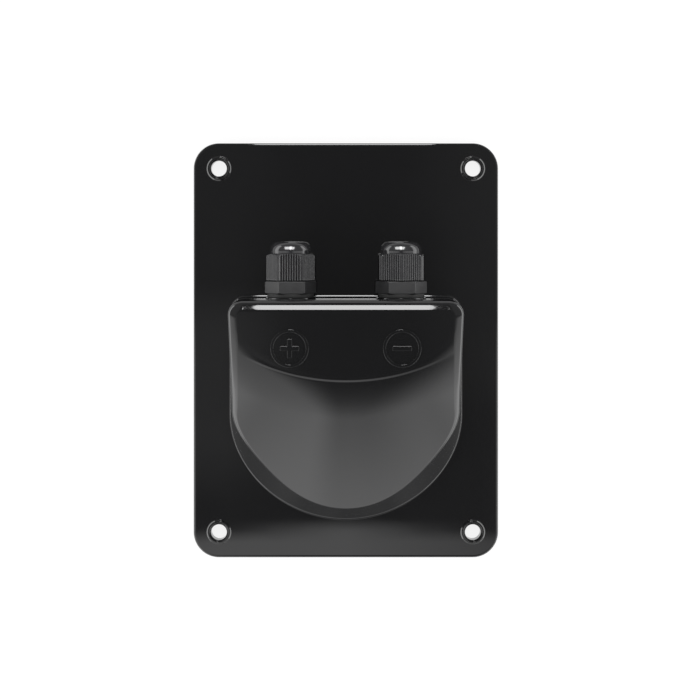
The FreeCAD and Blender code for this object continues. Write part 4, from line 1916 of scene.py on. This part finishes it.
    def nut_lamp(self) -> None:
        """Put up the wide lamp, which lights only the dome nuts, for the highlight on their ends."""
        nuts = bpy.data.collections.new("nuts_lit_by_wide_lamp")
        for side in Side:
            nuts.objects.link(bpy.data.objects[f"{side.name.lower()}_dome_nut_nylon"])
        self.lamp(self.wide).light_linking.receiver_collection = nuts

    def facing(self, place: Vector, aim: Vector) -> Matrix:
        """Place and turn for something that looks along its own -Z, with +Y up in the picture."""
        back = (place - aim).normalized()
        right = Vector((0.0, 1.0, 0.0)).cross(back).normalized()
        turn = Matrix((right, back.cross(right), back)).transposed()
        return Matrix.Translation(place) @ turn.to_4x4()

    def world(self) -> None:
        """Pale surround, white where it is seen and softer as light."""
        world = bpy.data.worlds.new("pale_surround")
        world.use_nodes = True
        tree = world.node_tree
        tree.nodes.clear()
        strength = add_node(
            tree,
            "ShaderNodeMapRange",
            {"To Min": self.surround, "To Max": 1.0},
            {"Value": self.seen(tree)},
        )
        background = add_node(
            tree,
            "ShaderNodeBackground",
            {"Color": (1.0, 1.0, 1.0, 1.0)},
            {"Strength": strength.outputs["Result"]},
        )
        add_node(tree, "ShaderNodeOutputWorld", {}, {"Surface": background.outputs[0]})
        bpy.context.scene.world = world

    def camera(self) -> None:
        """Camera straight above the front of the object, its frame shifted back over the whole of it."""
        data = bpy.data.cameras.new("photo_camera")
        data.lens = self.focal_length
        data.sensor_width = self.sensor
        data.shift_x, data.shift_y = self.camera_shift
        data.clip_start = 0.01
        data.clip_end = 50.0
        camera = bpy.data.objects.new("photo_camera", data)
        camera.matrix_world = self.facing(Vector(self.camera_place), Vector(self.camera_aim))
        bpy.context.scene.collection.objects.link(camera)
        bpy.context.scene.camera = camera


def main() -> None:
    """Build the housing, both glands and the studio."""
    logging.basicConfig(level=logging.INFO, format="%(name)s: %(message)s")
    bpy.context.scene.view_settings.view_transform = "Standard"
    Housing(MouldedABS()).build()
    nylon = MouldedNylon()
    nut_nylon = MouldedNylon(
        name="satin_moulded_nylon_nut",
        dark="#0e0e0f",
        light="#151516",
        roughness=(0.2, 0.28),
        textures=(Texture(0.28, 0.002, 2.0, 0.5),),
        polished_from=41.9,
        polished_over=0.6,
        polished_roughness=0.12,
    )
    rubber = MouldedRubber()
    CableGland(Side.LEFT, 4.4, 0.0, nylon, nut_nylon, rubber).build()
    CableGland(Side.RIGHT, 1.3, 30.0, nylon, nut_nylon, rubber).build()
    Studio().build()


if __name__ == "__main__":
    main()
